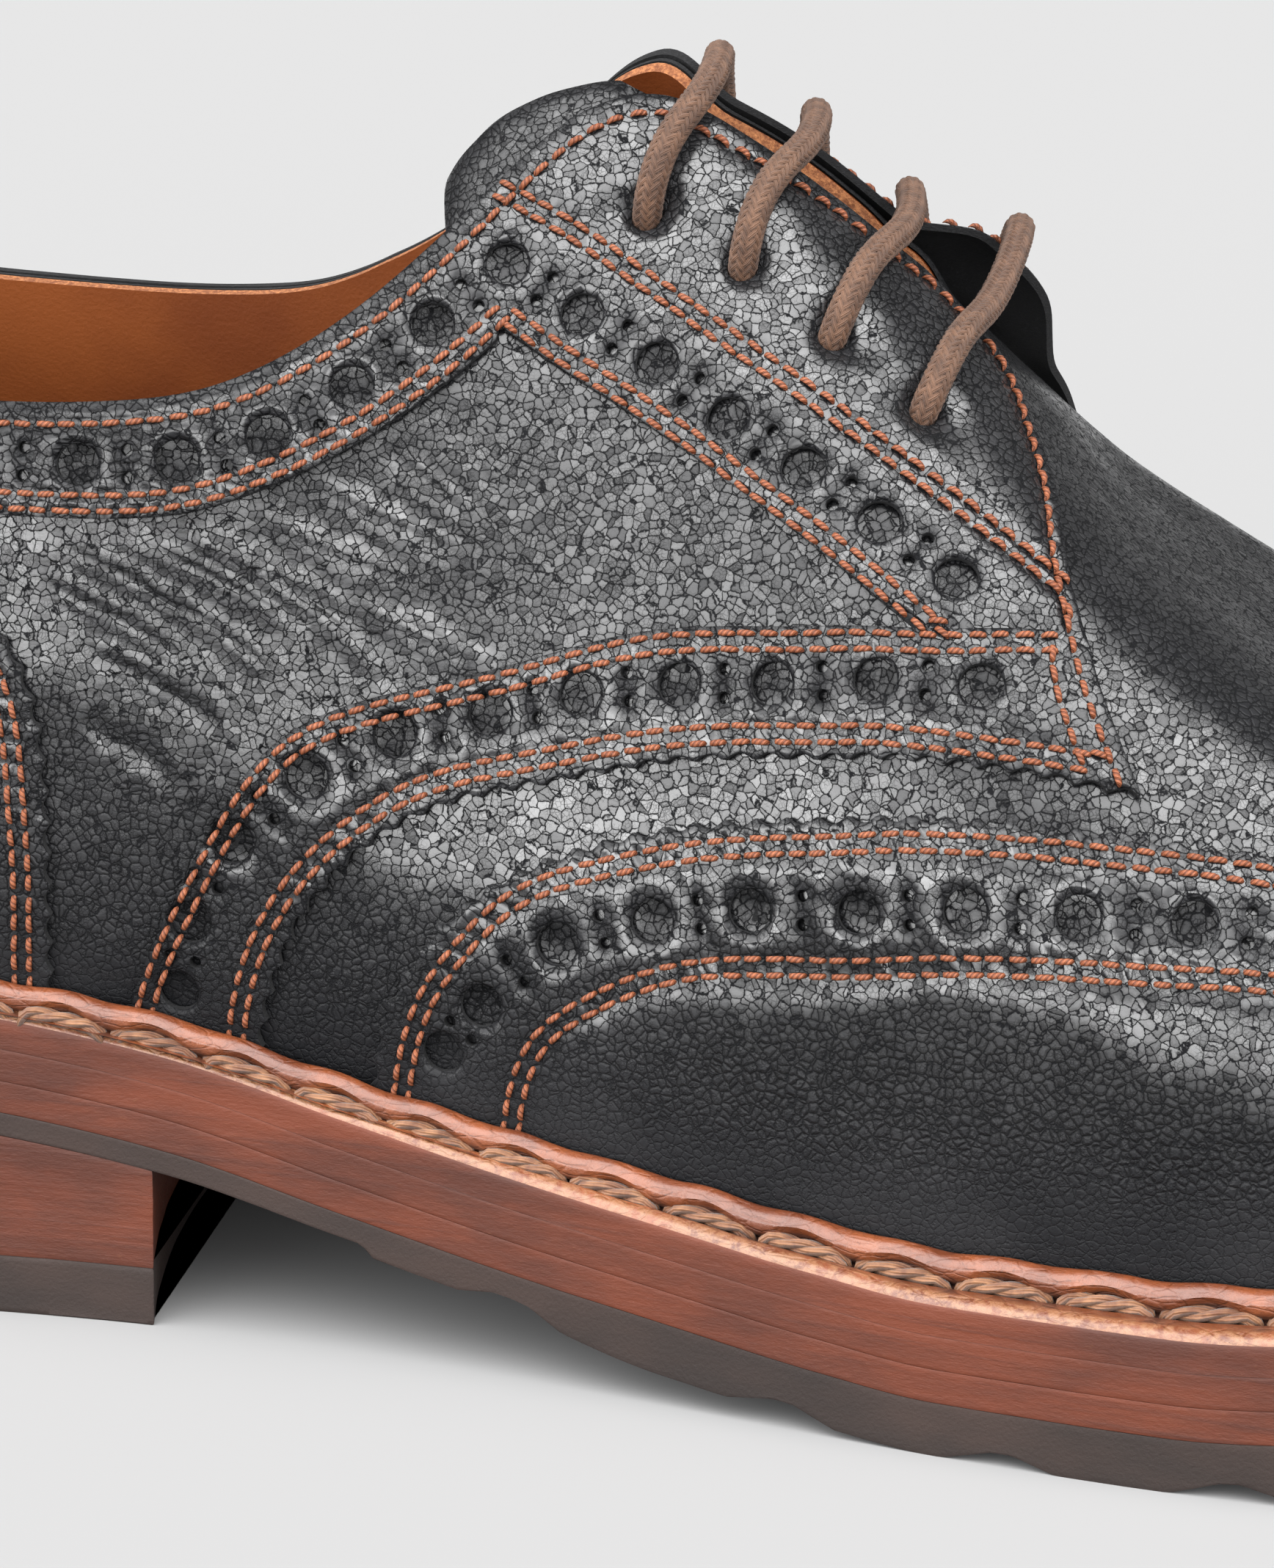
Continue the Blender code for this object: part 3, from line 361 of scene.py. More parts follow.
_rows = np.asarray(SECTIONS, float)
_scale = np.array([BALL_WIDTH, INSTEP, BALL_WIDTH, INSTEP, LENGTH, BALL_WIDTH, INSTEP])
_section_at = spline(_rows[:, 0], _rows[:, 1:] * _scale, level_ends=(0, 1, 2, 3, 4, 6))
_crest_bend = even_slope(CREST_BEND)


def crest(s):
    """Middle line of the last's top, and how far its two sides stand apart there."""
    row = _section_at(s)
    x = row[..., 4]
    middle = _crest_bend(x / LENGTH)[..., 0] * BALL_WIDTH
    return x, middle, welt_edge(x) + row[..., 6], np.maximum(row[..., 5], 0)


def crest_slope(s):
    step = 1e-3
    back, ahead = crest(np.clip(s - step, 0, 1)), crest(np.clip(s + step, 0, 1))
    return (ahead[2] - back[2]) / np.maximum(ahead[0] - back[0], 1e-7)


def last_point(side, s, v):
    """Point of the last at share s of the feather line and share v of the way up to the crest."""
    s, v = np.broadcast_arrays(np.asarray(s, float), np.asarray(v, float))
    sign = -1 if side == 0 else 1
    if side == 1:
        v = v + np.interp(s, *np.transpose(FAR_RISE)) * smooth((v - 0.50) / 0.20)
    plan = plan_at(side, s)
    row = _section_at(s)
    x, middle, z, apart = crest(s)
    start = np.stack([plan[..., 0], plan[..., 1], welt_bottom(plan[..., 0]) + GAP], -1)
    out = plan[..., 2:4]
    low = start + np.concatenate([row[..., 0:1] * out, row[..., 1:2]], -1)
    end = np.stack([x, middle + sign * apart, z], -1)
    fall = row[..., 3] + row[..., 2] * out[..., 0] * smooth((s - 0.46) / 0.08) * crest_slope(s)
    high = end + np.concatenate([row[..., 2:3] * out, fall[..., None]], -1)
    t = v[..., None]
    spot = (1 - t) ** 3 * start + 3 * t * (1 - t) ** 2 * low + 3 * t * t * (1 - t) * high + t ** 3 * end
    settled = smooth((s - 0.595) / 0.07) * (1 - smooth((s - 0.78) / 0.18)) * smooth((v - 0.50) / 0.45)
    return spot - settled[..., None] * np.array([0, 0, VAMP_SETTLE])


def last_normal(side, s, v):
    """Outward direction of the last."""
    step = 1e-3
    s, v = np.broadcast_arrays(np.asarray(s, float), np.asarray(v, float))
    along = last_point(side, np.clip(s + step, 0, 1), v) - last_point(side, np.clip(s - step, 0, 1), v)
    up = last_point(side, s, np.clip(v + step, 0, 1)) - last_point(side, s, np.clip(v - step, 0, 1))
    normal = np.cross(along, up) * (1 if side == 0 else -1)
    on_ridge = (v > 0.999) & (s > 0.5)
    slope = crest_slope(s)
    ridge = np.stack([-slope, np.zeros_like(slope), np.ones_like(slope)], -1)
    normal = np.where(on_ridge[..., None], ridge, normal)
    on_middle = ((s < 1e-6) | (s > 1 - 1e-6))
    normal[..., 1] = np.where(on_middle, 0, normal[..., 1])
    return unit(normal)


def facing_lift(s, v, side=0):
    """How far the facings stand off the last beside the throat, the inner one's corner more."""
    corner = smooth((v - 0.62) / 0.28) * smooth((s - 0.38) / 0.09) * (1 - smooth((s - 0.475) / 0.035))
    corner = corner + 1.0 * smooth((v - 0.78) / 0.12) * smooth((s - 0.566) / 0.024)
    return FACING_LIFT * smooth((v - 0.60) / 0.36) * smooth((s - 0.43) / 0.10) + side * FAR_OPEN * corner


def wall_lift(s, v, side=0):
    """The same for the wall under the facings, which comes down to the vamp ahead of them."""
    return facing_lift(s, v, side) * (1 - smooth((s - 0.555) / 0.043))


def offset_point(side, s, v, offset):
    return last_point(side, s, v) + last_normal(side, s, v) * np.asarray(offset)[..., None]


# Size of the flat pattern that pieces are cut from
PATTERN_SCALE = np.array([FEATHER_LENGTH, PATTERN_HEIGHT])


def inside(points, loop):
    """Which flat points lie in a closed loop."""
    x, y = points[:, 0], points[:, 1]
    hit = np.zeros(len(points), bool)
    ahead = np.roll(loop, -1, 0)
    for (x0, y0), (x1, y1) in zip(loop, ahead):
        if y0 == y1:
            continue
        crosses = (y0 > y) != (y1 > y)
        hit ^= crosses & (x < (x1 - x0) * (y - y0) / (y1 - y0) + x0)
    return hit


def slopes(side, s, v):
    """How the last's surface moves with each share."""
    step = 1e-3
    s, v = np.clip(s, 0, 1), np.clip(v, 0, 1)
    s0, s1 = np.clip(s - step, 0, 1), np.clip(s + step, 0, 1)
    v0, v1 = np.clip(v - step, 0, 1), np.clip(v + step, 0, 1)
    along = (last_point(side, s1, v) - last_point(side, s0, v)) / (s1 - s0)[..., None]
    up = (last_point(side, s, v1) - last_point(side, s, v0)) / (v1 - v0)[..., None]
    return along, up


def step_on(side, s, v, move):
    """Shares reached from a place by a small move over the surface."""
    along, up = slopes(side, s, v)
    a = (along * along).sum(-1)
    b = (along * up).sum(-1)
    c = (up * up).sum(-1)
    p = (along * move).sum(-1)
    q = (up * move).sum(-1)
    whole = a * c - b * b
    return s + (c * p - b * q) / whole, v + (a * q - b * p) / whole


class Line:
    """A line drawn on the leather: shares at even steps of real length, with its directions."""

    def __init__(self, side, rows, step=0.25 * MM, start=0.0, end=0.0):
        flat = curve_through(np.array(rows) * PATTERN_SCALE, 0.5 * MM) / PATTERN_SCALE
        s, v = flat.T
        spots = last_point(side, s, v)
        length = walked(spots)
        count = max(3, int((length[-1] - start - end) / step) + 1)
        place = np.linspace(start, length[-1] - end, count)
        self.side = side
        self.length = place[-1] - place[0]
        self.s = np.interp(place, length, s)
        self.v = np.interp(place, length, v)
        self.frames()

    def frames(self):
        """Work out places and directions: ahead along the line, left over the surface, and outward."""
        spots = last_point(self.side, self.s, self.v)
        self.normal = last_normal(self.side, self.s, self.v)
        ahead = np.gradient(spots, axis=0)
        ahead -= self.normal * (ahead * self.normal).sum(-1, keepdims=True)
        self.ahead = unit(ahead)
        turn = 1 if self.side == 0 else -1
        self.left = np.cross(self.normal, self.ahead) * turn
        self.spots = spots

    def beside(self, away, step=0.25 * MM):
        """The line moved sideways, towards the crest if positive where it runs to the toe."""
        s, v = step_on(self.side, self.s, self.v, self.left * away)
        moved = object.__new__(Line)
        moved.side = self.side
        spots = last_point(self.side, s, v)
        length = walked(spots)
        count = max(3, int(length[-1] / step) + 1)
        place = np.linspace(0, length[-1], count)
        moved.s = np.interp(place, length, s)
        moved.v = np.interp(place, length, v)
        moved.length = length[-1]
        moved.frames()
        return moved

    def flat(self, every=1):
        return np.stack([self.s, self.v], 1)[::every] * PATTERN_SCALE

    def stitches(self):
        return max(1, int(round(self.length / STITCH_PITCH)))

    def pick(self, count):
        """Indices of places spread evenly over the line."""
        return np.round(np.linspace(0, len(self.s) - 1, count)).astype(int)


def beside_flat(line, away):
    """Flat points of a line moved sideways over the surface."""
    s, v = step_on(line.side, line.s, line.v, line.left * away)
    return np.stack([s, v], 1) * PATTERN_SCALE


PINK_PITCH = 3.05 * MM
PINK_DEPTH = 0.75 * MM


def pinked(line, away):
    """Flat outline of a pinked edge along a line: teeth point to the given side."""
    distance = np.linspace(0, line.length, len(line.s))
    bite = (1 - np.abs(np.sin(math.pi * distance / PINK_PITCH))) * PINK_DEPTH - PINK_DEPTH * 0.4
    return beside_flat(line, (away * bite)[:, None])


# Stitch rows that the photo shows, each the middle of a double row
FACING_INNER = [
    (0.431, 0.846), (0.457, 0.769), (0.481, 0.716), (0.506, 0.685), (0.529, 0.666), (0.551, 0.656),
    (0.573, 0.650), (0.594, 0.641), (0.614, 0.628),
]
BAND_LOW = [
    (0.000, 0.706), (0.060, 0.696), (0.150, 0.653), (0.215, 0.620), (0.259, 0.606), (0.310, 0.606),
    (0.350, 0.642), (0.391, 0.690), (0.432, 0.730),
]
FACING_V = [
    (0.432, 0.726), (0.455, 0.661), (0.479, 0.615), (0.502, 0.585), (0.524, 0.561), (0.544, 0.541),
    (0.563, 0.523),
]
STRAP_TOP_SEAM = [
    (0.276, 0.012), (0.283, 0.097), (0.297, 0.200), (0.312, 0.283), (0.342, 0.396), (0.381, 0.447),
    (0.433, 0.463), (0.486, 0.466), (0.558, 0.505), (0.606, 0.565),
]
STRAP_LOW_SEAM = [
    (0.307, 0.012), (0.311, 0.099), (0.331, 0.250), (0.355, 0.330), (0.388, 0.387), (0.428, 0.403),
    (0.467, 0.405), (0.510, 0.415), (0.557, 0.437), (0.604, 0.467),
]
STRAP_FRONT_SEAM = [(0.606, 0.565), (0.603, 0.530), (0.603, 0.500), (0.604, 0.467)]
WING_TOP_SEAM = [
    (0.357, 0.012), (0.364, 0.112), (0.374, 0.190), (0.389, 0.250), (0.410, 0.299), (0.443, 0.323),
    (0.500, 0.342), (0.549, 0.364), (0.597, 0.392), (0.649, 0.419), (0.702, 0.441), (0.756, 0.477),
    (0.805, 0.547), (0.837, 0.645), (0.849, 0.762), (0.839, 0.880), (0.812, 1.000),
]
WING_LOW_SEAM = [
    (0.392, 0.012), (0.398, 0.105), (0.410, 0.178), (0.430, 0.220), (0.459, 0.249), (0.492, 0.261),
    (0.565, 0.290), (0.638, 0.323), (0.705, 0.342), (0.765, 0.374), (0.822, 0.448), (0.865, 0.565),
    (0.884, 0.700), (0.882, 0.850), (0.868, 1.000),
]
COUNTER_SEAM = [
    (0.000, 0.628), (0.060, 0.620), (0.120, 0.598), (0.178, 0.560), (0.222, 0.508), (0.245, 0.450),
    (0.251, 0.376), (0.250, 0.303), (0.248, 0.217), (0.244, 0.102), (0.242, 0.012),
]

# Creases pressed into the quarter
CREASES = [
    [(0.272, 0.557), (0.294, 0.530), (0.320, 0.494)],
    [(0.265, 0.522), (0.289, 0.490), (0.313, 0.453)],
    [(0.295, 0.566), (0.322, 0.538), (0.351, 0.502)],
    [(0.316, 0.576), (0.343, 0.551), (0.370, 0.524)],
    [(0.343, 0.596), (0.367, 0.571), (0.395, 0.543)],
    [(0.362, 0.631), (0.387, 0.595), (0.412, 0.559)],
    [(0.278, 0.457), (0.301, 0.429), (0.320, 0.400)],
    [(0.385, 0.661), (0.404, 0.614), (0.422, 0.560)],
    [(0.407, 0.681), (0.418, 0.622), (0.434, 0.567)],
    [(0.272, 0.387), (0.291, 0.364), (0.304, 0.334)],
    [(0.333, 0.553), (0.357, 0.517), (0.375, 0.475)],
    [(0.301, 0.516), (0.327, 0.482), (0.345, 0.444)],
    [(0.368, 0.535), (0.392, 0.502), (0.417, 0.473)],
]

# Middles of the large punched holes
FACING_HOLES = [
    (0.434, 0.769), (0.458, 0.699), (0.482, 0.653), (0.505, 0.620), (0.529, 0.601), (0.553, 0.588),
    (0.576, 0.576),
]
BAND_HOLES = [
    (0.434, 0.769), (0.407, 0.747), (0.378, 0.709), (0.349, 0.670), (0.318, 0.645), (0.285, 0.640),
    (0.250, 0.652), (0.205, 0.678), (0.155, 0.705), (0.105, 0.738), (0.055, 0.765), (0.010, 0.778),
]
STRAP_HOLES = [
    (0.293, 0.115), (0.300, 0.200), (0.318, 0.297), (0.346, 0.375), (0.378, 0.424), (0.410, 0.440),
    (0.441, 0.442), (0.473, 0.439), (0.505, 0.445), (0.540, 0.465), (0.575, 0.494),
]
WING_HOLES = [
    (0.377, 0.142), (0.392, 0.199), (0.420, 0.264), (0.452, 0.284), (0.484, 0.296), (0.518, 0.306),
    (0.552, 0.321), (0.586, 0.339), (0.621, 0.360),
]
WING_HOLES_ON = [(0.660, 0.376), (0.708, 0.394), (0.766, 0.432), (0.818, 0.503), (0.852, 0.607),
                 (0.867, 0.735), (0.861, 0.860), (0.842, 0.985)]

# Bar tacks where seams end: middle, and half the way from end to end
TACKS = [
    (0.565, 0.528, 0.0035, 0.004), (0.566, 0.521, 0.0035, -0.004), (0.612, 0.603, 0.0004, 0.014),
    (0.607, 0.477, 0.004, 0.0),
]

ROW_GAP = 0.76 * MM        # each stitch row from the middle of a double row
EDGE_ROW = 2.1 * MM        # single row in from the topline
FRONT_ROW = 1.5 * MM       # and in from the front of the facings
ROW_EDGE = 1.45 * MM       # cut edge out from the middle of a double row
VEE_EDGE = 1.1 * MM        # the same along the facing's front
STITCH_PITCH = 2.15 * MM
BIG_HOLE = 2.05 * MM
SMALL_HOLE = 0.62 * MM
HOLE_PITCH = 10.2 * MM
PAIR_APART = 1.35 * MM
CELL = 1.35 * MM


def seam_rows(side):
    """Every stitch row of one side, by piece."""
    edge = Line(side, TOPLINE).beside(-EDGE_ROW)
    front = Line(side, QUARTER_FRONT + STRAP_FRONT[1:], end=1.2 * MM).beside(-FRONT_ROW)
    front_start = int(np.argmin(np.linalg.norm(front.spots - edge.spots[-1], axis=1)))
    rows = {"facing": [edge], "strap": [], "wing_cap": [], "heel_counter": []}
    split = int(np.argmin(np.abs(front.v - 0.60)))
    for name, first, last in (("facing", front_start, split), ("strap", split, len(front.s) - 1)):
        part = object.__new__(Line)
        part.side = side
        part.s, part.v = front.s[first:last + 1], front.v[first:last + 1]
        part.frames()
        part.length = np.linalg.norm(np.diff(part.spots, axis=0), axis=1).sum()
        rows[name].append(part)
    for away in (-ROW_GAP, ROW_GAP):
        rows["facing"] += [Line(side, table).beside(away) for table in (FACING_INNER, BAND_LOW, FACING_V)]
        rows["strap"] += [Line(side, table).beside(away) for table in (STRAP_TOP_SEAM, STRAP_LOW_SEAM)]
        rows["wing_cap"] += [Line(side, table).beside(away) for table in (WING_TOP_SEAM, WING_LOW_SEAM)]
        rows["heel_counter"].append(Line(side, COUNTER_SEAM).beside(away))
    rows["strap"].append(Line(side, STRAP_FRONT_SEAM).beside(-ROW_GAP))
    return rows


def hole_places(side):
    """Middles, radii and directions of the punched holes, by piece."""
    holes = {"facing": [], "strap": [], "wing_cap": []}

    def punch(piece, table):
        line = Line(side, table)
        flat = line.flat() / PATTERN_SCALE
        spots = np.array(table)
        nearest = [int(np.argmin(np.linalg.norm((flat - spot) * PATTERN_SCALE, axis=1))) for spot in spots]
        for i in nearest:
            holes[piece].append((line.s[i], line.v[i], BIG_HOLE, line.ahead[i], line.left[i]))
        for i, j in zip(nearest, nearest[1:]):
            k = (i + j) // 2
            for away in (-PAIR_APART, PAIR_APART):
                s, v = step_on(side, line.s[k], line.v[k], line.left[k] * away)
                holes[piece].append((float(s), float(v), SMALL_HOLE, line.ahead[k], line.left[k]))

    punch("facing", FACING_HOLES)
    punch("facing", BAND_HOLES[1:])
    punch("strap", STRAP_HOLES)
    line = Line(side, WING_HOLES[-1:] + WING_HOLES_ON)
    count = int(line.length / HOLE_PITCH)
    step = len(line.s) / line.length * HOLE_PITCH
    on = [(line.s[int(step * k)], line.v[int(step * k)]) for k in range(1, count)]
    punch("wing_cap", WING_HOLES + on)
    line = Line(side, BAND_HOLES[:2])
    k = len(line.s) // 2
    for away in (-PAIR_APART, PAIR_APART):
        s, v = step_on(side, line.s[k], line.v[k], line.left[k] * away)
        holes["facing"].append((float(s), float(v), SMALL_HOLE, line.ahead[k], line.left[k]))
    return holes


def ring(side, hole, radius, count):
    """Flat points of a circle of real radius round a hole."""
    s, v, _, ahead, left = hole
    turn = round_angles(count)
    move = np.cos(turn)[:, None] * ahead * radius + np.sin(turn)[:, None] * left * radius
    reach_s, reach_v = step_on(side, np.full(count, s), np.full(count, v), move)
    return np.stack([reach_s, reach_v], 1) * PATTERN_SCALE


def near(tree_points, spots):
    """Distance from each spot to the nearest of some points."""
    tree = KDTree(len(tree_points))
    for i, point in enumerate(tree_points):
        tree.insert(point, i)
    tree.balance()
    return np.array([tree.find(spot)[2] for spot in spots])


def flat_mesh(outline, circles, extra, cell):
    """Triangles inside a flat outline, outside its circles, with extra points where the relief is fine."""
    points, edges = [], []
    for loop in [outline, *circles]:
        first, count = len(points), len(loop)
        points.extend(loop)
        edges.extend((first + i, first + (i + 1) % count) for i in range(count))
    low, high = outline.min(axis=0), outline.max(axis=0)
    columns = np.arange(low[0], high[0], cell)
    rows = np.arange(low[1], high[1], cell * 0.87)
    grid = np.array([(x + (cell / 2 if j % 2 else 0), y) for j, y in enumerate(rows) for x in columns])
    for group, clear in [(g, 0.32 * MM) for g in extra] + [(grid, 0.62 * cell)]:
        if len(group) == 0:
            continue
        group = group[inside(group, outline)]
        tree = KDTree(len(points))
        for i, point in enumerate(points):
            tree.insert((point[0], point[1], 0), i)
        tree.balance()
        kept = []
        for spot in group:
            if tree.find((spot[0], spot[1], 0))[2] > clear:
                kept.append(spot)
        points.extend(kept)
    flat = [(p[0] / MM, p[1] / MM) for p in points]
    result = delaunay_2d_cdt(flat, edges, [], 0, 1e-4)
    verts = np.array([(v[0], v[1]) for v in result[0]]) * MM
    faces = np.array([tuple(f) for f in result[2] if len(f) == 3])
    turn = cross_flat(verts[faces[:, 1]] - verts[faces[:, 0]], verts[faces[:, 2]] - verts[faces[:, 0]])
    faces = np.where(turn[:, None] < 0, faces[:, ::-1], faces)
    middle = verts[faces].mean(axis=1)
    kept = inside(middle, outline) & (np.abs(turn) > 1e-14)
    for loop in circles:
        around = np.linalg.norm(middle - loop.mean(axis=0), axis=1) < 3 * BIG_HOLE
        kept[around] &= ~inside(middle[around], loop)
    return verts / PATTERN_SCALE, faces[kept]


def cross_flat(a, b):
    return a[..., 0] * b[..., 1] - a[..., 1] * b[..., 0]


# Materials

class Value:
    """Something that varies over a surface; sums on numbers add Math nodes."""

    def __init__(self, paint, socket):
        self.paint = paint
        self.socket = socket

    def maths(self, operation, *others):
        return self.paint.maths(operation, self, *others)

    def __add__(self, other):
        return self.maths("ADD", other)

    def __sub__(self, other):
        return self.maths("SUBTRACT", other)

    def __mul__(self, other):
        return self.maths("MULTIPLY", other)

    def __rsub__(self, other):
        return self.paint.maths("SUBTRACT", other, self)

    __radd__ = __add__
    __rmul__ = __mul__


class Paint:
    """One material and the nodes behind its Principled shader."""

    def __init__(self, name, **settings):
        self.material = bpy.data.materials.new(name)
        self.material.use_nodes = True
        self.tree = self.material.node_tree
        self.shader = self.tree.nodes["Principled BSDF"]
        for key, value in settings.items():
            self.set(key.replace("_", " "), value)

    def set(self, name, value):
        socket = self.shader.inputs[name]
        if isinstance(value, Value):
            self.tree.links.new(value.socket, socket)
        elif isinstance(value, tuple) and len(value) == 3:
            socket.default_value = (*value, 1) if len(socket.default_value) == 4 else value
        else:
            socket.default_value = value

    def node(self, kind, settings=None, out=0, **inputs):
        made = self.tree.nodes.new(kind)
        for key, value in (settings or {}).items():
            if key == "stops":
                ramp = made.color_ramp
                while len(ramp.elements) < len(value):
                    ramp.elements.new(0.5)
                for stop, (place, colour) in zip(ramp.elements, value):
                    stop.position = place
                    stop.color = (*colour, 1)
            else:
                setattr(made, key, value)
        for key, value in inputs.items():
            socket = made.inputs[int(key[1:])] if key[1:].isdigit() else made.inputs[key.replace("_", " ")]
            if isinstance(value, Value):
                self.tree.links.new(value.socket, socket)
            else:
                socket.default_value = value
        return Value(self, made.outputs[out])

    def maths(self, operation, *values):
        inputs = {f"i{n}": value for n, value in enumerate(values)}
        return self.node("ShaderNodeMath", {"operation": operation}, **inputs)

    def within(self, value, low, high):
        """Soft step: 0 below low and 1 above high."""
        soft = {"interpolation_type": "SMOOTHSTEP"}
        return self.node("ShaderNodeMapRange", soft, i0=value, i1=low, i2=high)

    def blend(self, share, first, second):
        first = (*first, 1) if isinstance(first, tuple) else first
        second = (*second, 1) if isinstance(second, tuple) else second
        return self.node("ShaderNodeMix", {"data_type": "RGBA"}, out=2, i0=share, i6=first, i7=second)

    def place(self, stretch=(1, 1, 1), turn=(0, 0, 0)):
        spot = self.node("ShaderNodeTexCoord", out="Object")
        return self.node("ShaderNodeMapping", Vector=spot, Scale=stretch, Rotation=turn)

    def noise(self, spot, scale, detail=3.0, roughness=0.55, out=0):
        return self.node("ShaderNodeTexNoise", out=out, Vector=spot, Scale=scale, Detail=detail,
                         Roughness=roughness)

    def cells(self, spot, scale, feature="DISTANCE_TO_EDGE", out=0):
        return self.node("ShaderNodeTexVoronoi", {"feature": feature}, out=out, Vector=spot, Scale=scale)

    def sway(self, spot, scale, reach):
        """Places nudged by noise."""
        drift = self.noise(spot, scale, 2.0, out=1)
        centred = self.node("ShaderNodeVectorMath", {"operation": "SUBTRACT"}, i0=drift, i1=(0.5, 0.5, 0.5))
        return self.node("ShaderNodeVectorMath", {"operation": "MULTIPLY_ADD"}, i0=centred,
                         i1=(reach, reach, reach), i2=spot)

    def wave(self, turns):
        """A sine over a number of turns, from 0 to 1."""
        return self.maths("SINE", turns * 6.2832) * 0.5 + 0.5

    def thread_places(self):
        """Shares along and around a thread, from its own map."""
        uv = self.node("ShaderNodeTexCoord", out="UV")
        parts = self.tree.nodes.new("ShaderNodeSeparateXYZ")
        self.tree.links.new(uv.socket, parts.inputs[0])
        return Value(self, parts.outputs[0]), Value(self, parts.outputs[1])

    def mark(self, name):
        return self.node("ShaderNodeAttribute", {"attribute_name": name}, out="Fac")

    def bump(self, height, distance):
        return self.node("ShaderNodeBump", Height=height, Distance=distance, Strength=1.0)


PEBBLES = 1080             # cells of the grain to a metre


def paint_black_leather():
    """Pebbled black leather: glossy flat-topped cells between fine dull cracks darkened as painted shade,
    calmer near the welt.
    """
    p = Paint("black_grain_leather", Specular_IOR_Level=0.08, Coat_Roughness=0.17, Coat_IOR=1.66)
    spot = p.sway(p.sway(p.place(), 900, 0.00050), 3000, 0.00022)
    calm = p.mark("calm")
    coarse = p.mark("coarse")
    large = p.cells(spot, PEBBLES)
    small = p.cells(p.sway(p.place(), 1700, 0.00035), 2300)
    loose = p.within(p.noise(p.place(), 420, 2.0), 0.38, 0.56)
    crack = p.within(large, 0.016, 0.095)
    uneven = p.cells(spot, PEBBLES, "F1", 1)
    split = p.within(small, 0.012, 0.10)
    split = 1 - (1 - split) * loose
    firm = 1 - calm * 0.80
    top = p.within(large, 0.0, 0.30)
    height = (crack * 0.75 + top * (0.35 + coarse * 0.9)) * firm + split * 0.30 * firm
    grit = p.noise(p.place(), 5200, 2.0)
    pores = p.within(p.cells(p.place(), 1150, "F1"), 0.08, 0.20)
    height = height + grit * 0.10 + pores * 0.22 * calm
    along = p.sway(p.place((0.30, 0.30, 1.0), (0, math.radians(-28), 0)), 300, 0.0016)
    fold = p.noise(along, 1050, 2.0, 0.5)
    height = height + p.within(fold, 0.38, 0.62) * 2.4 * p.mark("folded")
    p.set("Normal", p.bump(height, 0.00032))
    patches = p.within(p.noise(p.place(), 55, 4.0), 0.35, 0.7)
    face = p.blend(patches, (0.0050, 0.0051, 0.0058), (0.0090, 0.0090, 0.0098))
    # Painted shade: the base colour is darker in the cracks between the cells, less so near the welt.
    dark = (1 - crack * (0.45 + split * 0.55)) * (1 - calm * 0.75)
    p.set("Base Color", p.blend(dark, face, (0.0016, 0.0017, 0.0022)))
    p.set("Roughness", 0.34 + dark * 0.45 + patches * 0.06 + calm * 0.14 + coarse * 0.04)
    shine = 0.06 + p.mark("gloss") * 0.90
    p.set("Coat Weight", (1 - dark) * shine * (0.16 + uneven * 0.74 + patches * 0.16))
    return p.material


def paint_raw_black():
    """Cut edge of the black leather: dull and fibrous."""
    p = Paint("raw_black_edge", Specular_IOR_Level=0.25)
    fibre = p.noise(p.place((1, 1, 2.5)), 2600, 4.0, 0.7)
    p.set("Normal", p.bump(fibre, 0.00025))
    pale = p.within(fibre, 0.45, 0.8)
    p.set("Base Color", p.blend(pale, (0.0021, 0.0021, 0.0024), (0.0112, 0.0112, 0.0126)))
    p.set("Roughness", 0.93)
    return p.material


def paint_thread():
    """Twisted waxed thread, with painted shade in the grooves between its plies."""
    p = Paint("tan_thread", Specular_IOR_Level=0.20)
    along, around = p.thread_places()
    ply = p.wave(along * 3.2 + around * 2.0)
    hair = p.wave(along * 11.0 + around * 7.0)
    p.set("Normal", p.bump(ply * 0.8 + hair * 0.2, 0.00014))
    tone = p.noise(p.place(), 420, 2.0)
    lit = p.blend(p.within(tone, 0.3, 0.75), (0.1110, 0.0327, 0.0132), (0.1610, 0.0520, 0.0233))
    # Painted shade: the base colour darkens towards near-black in the grooves of the ply wave.
    p.set("Base Color", p.blend((1 - p.within(ply, 0.05, 0.5)) * 0.75, lit, (0.0361, 0.0082, 0.0032)))
    p.set("Roughness", 0.52)
    return p.material


def paint_lace():
    """Waxed brown yarn of the braid, with painted shade where a yarn dips under the others, on its inner face
    and on the core.
    """
    p = Paint("brown_lace", Specular_IOR_Level=0.25, Sheen_Weight=0.04)
    along, around = p.thread_places()
    fibre = p.wave(around * 9.0 + along * 0.15)
    tone = p.noise(p.place(), 700, 2.0)
    height = p.mark("outward")
    p.set("Normal", p.bump(fibre, 0.00006))
    lit = p.blend(p.within(tone, 0.3, 0.75), (0.0370, 0.0163, 0.0080), (0.0720, 0.0344, 0.0181))
    # Painted shade: the base colour darkens where the outward mark is low.
    p.set("Base Color", p.blend((1 - p.within(height, 0.15, 0.80)) * 0.95, lit, (0.0086, 0.0035, 0.0020)))
    p.set("Roughness", 0.62)
    return p.material


def paint_lining():
    """Smooth tan calf, darker where it is scuffed."""
    p = Paint("tan_lining_leather", Specular_IOR_Level=0.15)
    spot = p.place()
    cloud = p.noise(spot, 45, 4.0)
    grain = p.noise(spot, 2300, 3.0)
    p.set("Normal", p.bump(grain, 0.00006))
    pale = p.within(cloud, 0.3, 0.72)
    p.set("Base Color", p.blend(pale, (0.0617, 0.0134, 0.0019), (0.0974, 0.0242, 0.0039)))
    p.set("Roughness", 0.55 + grain * 0.12)
    return p.material


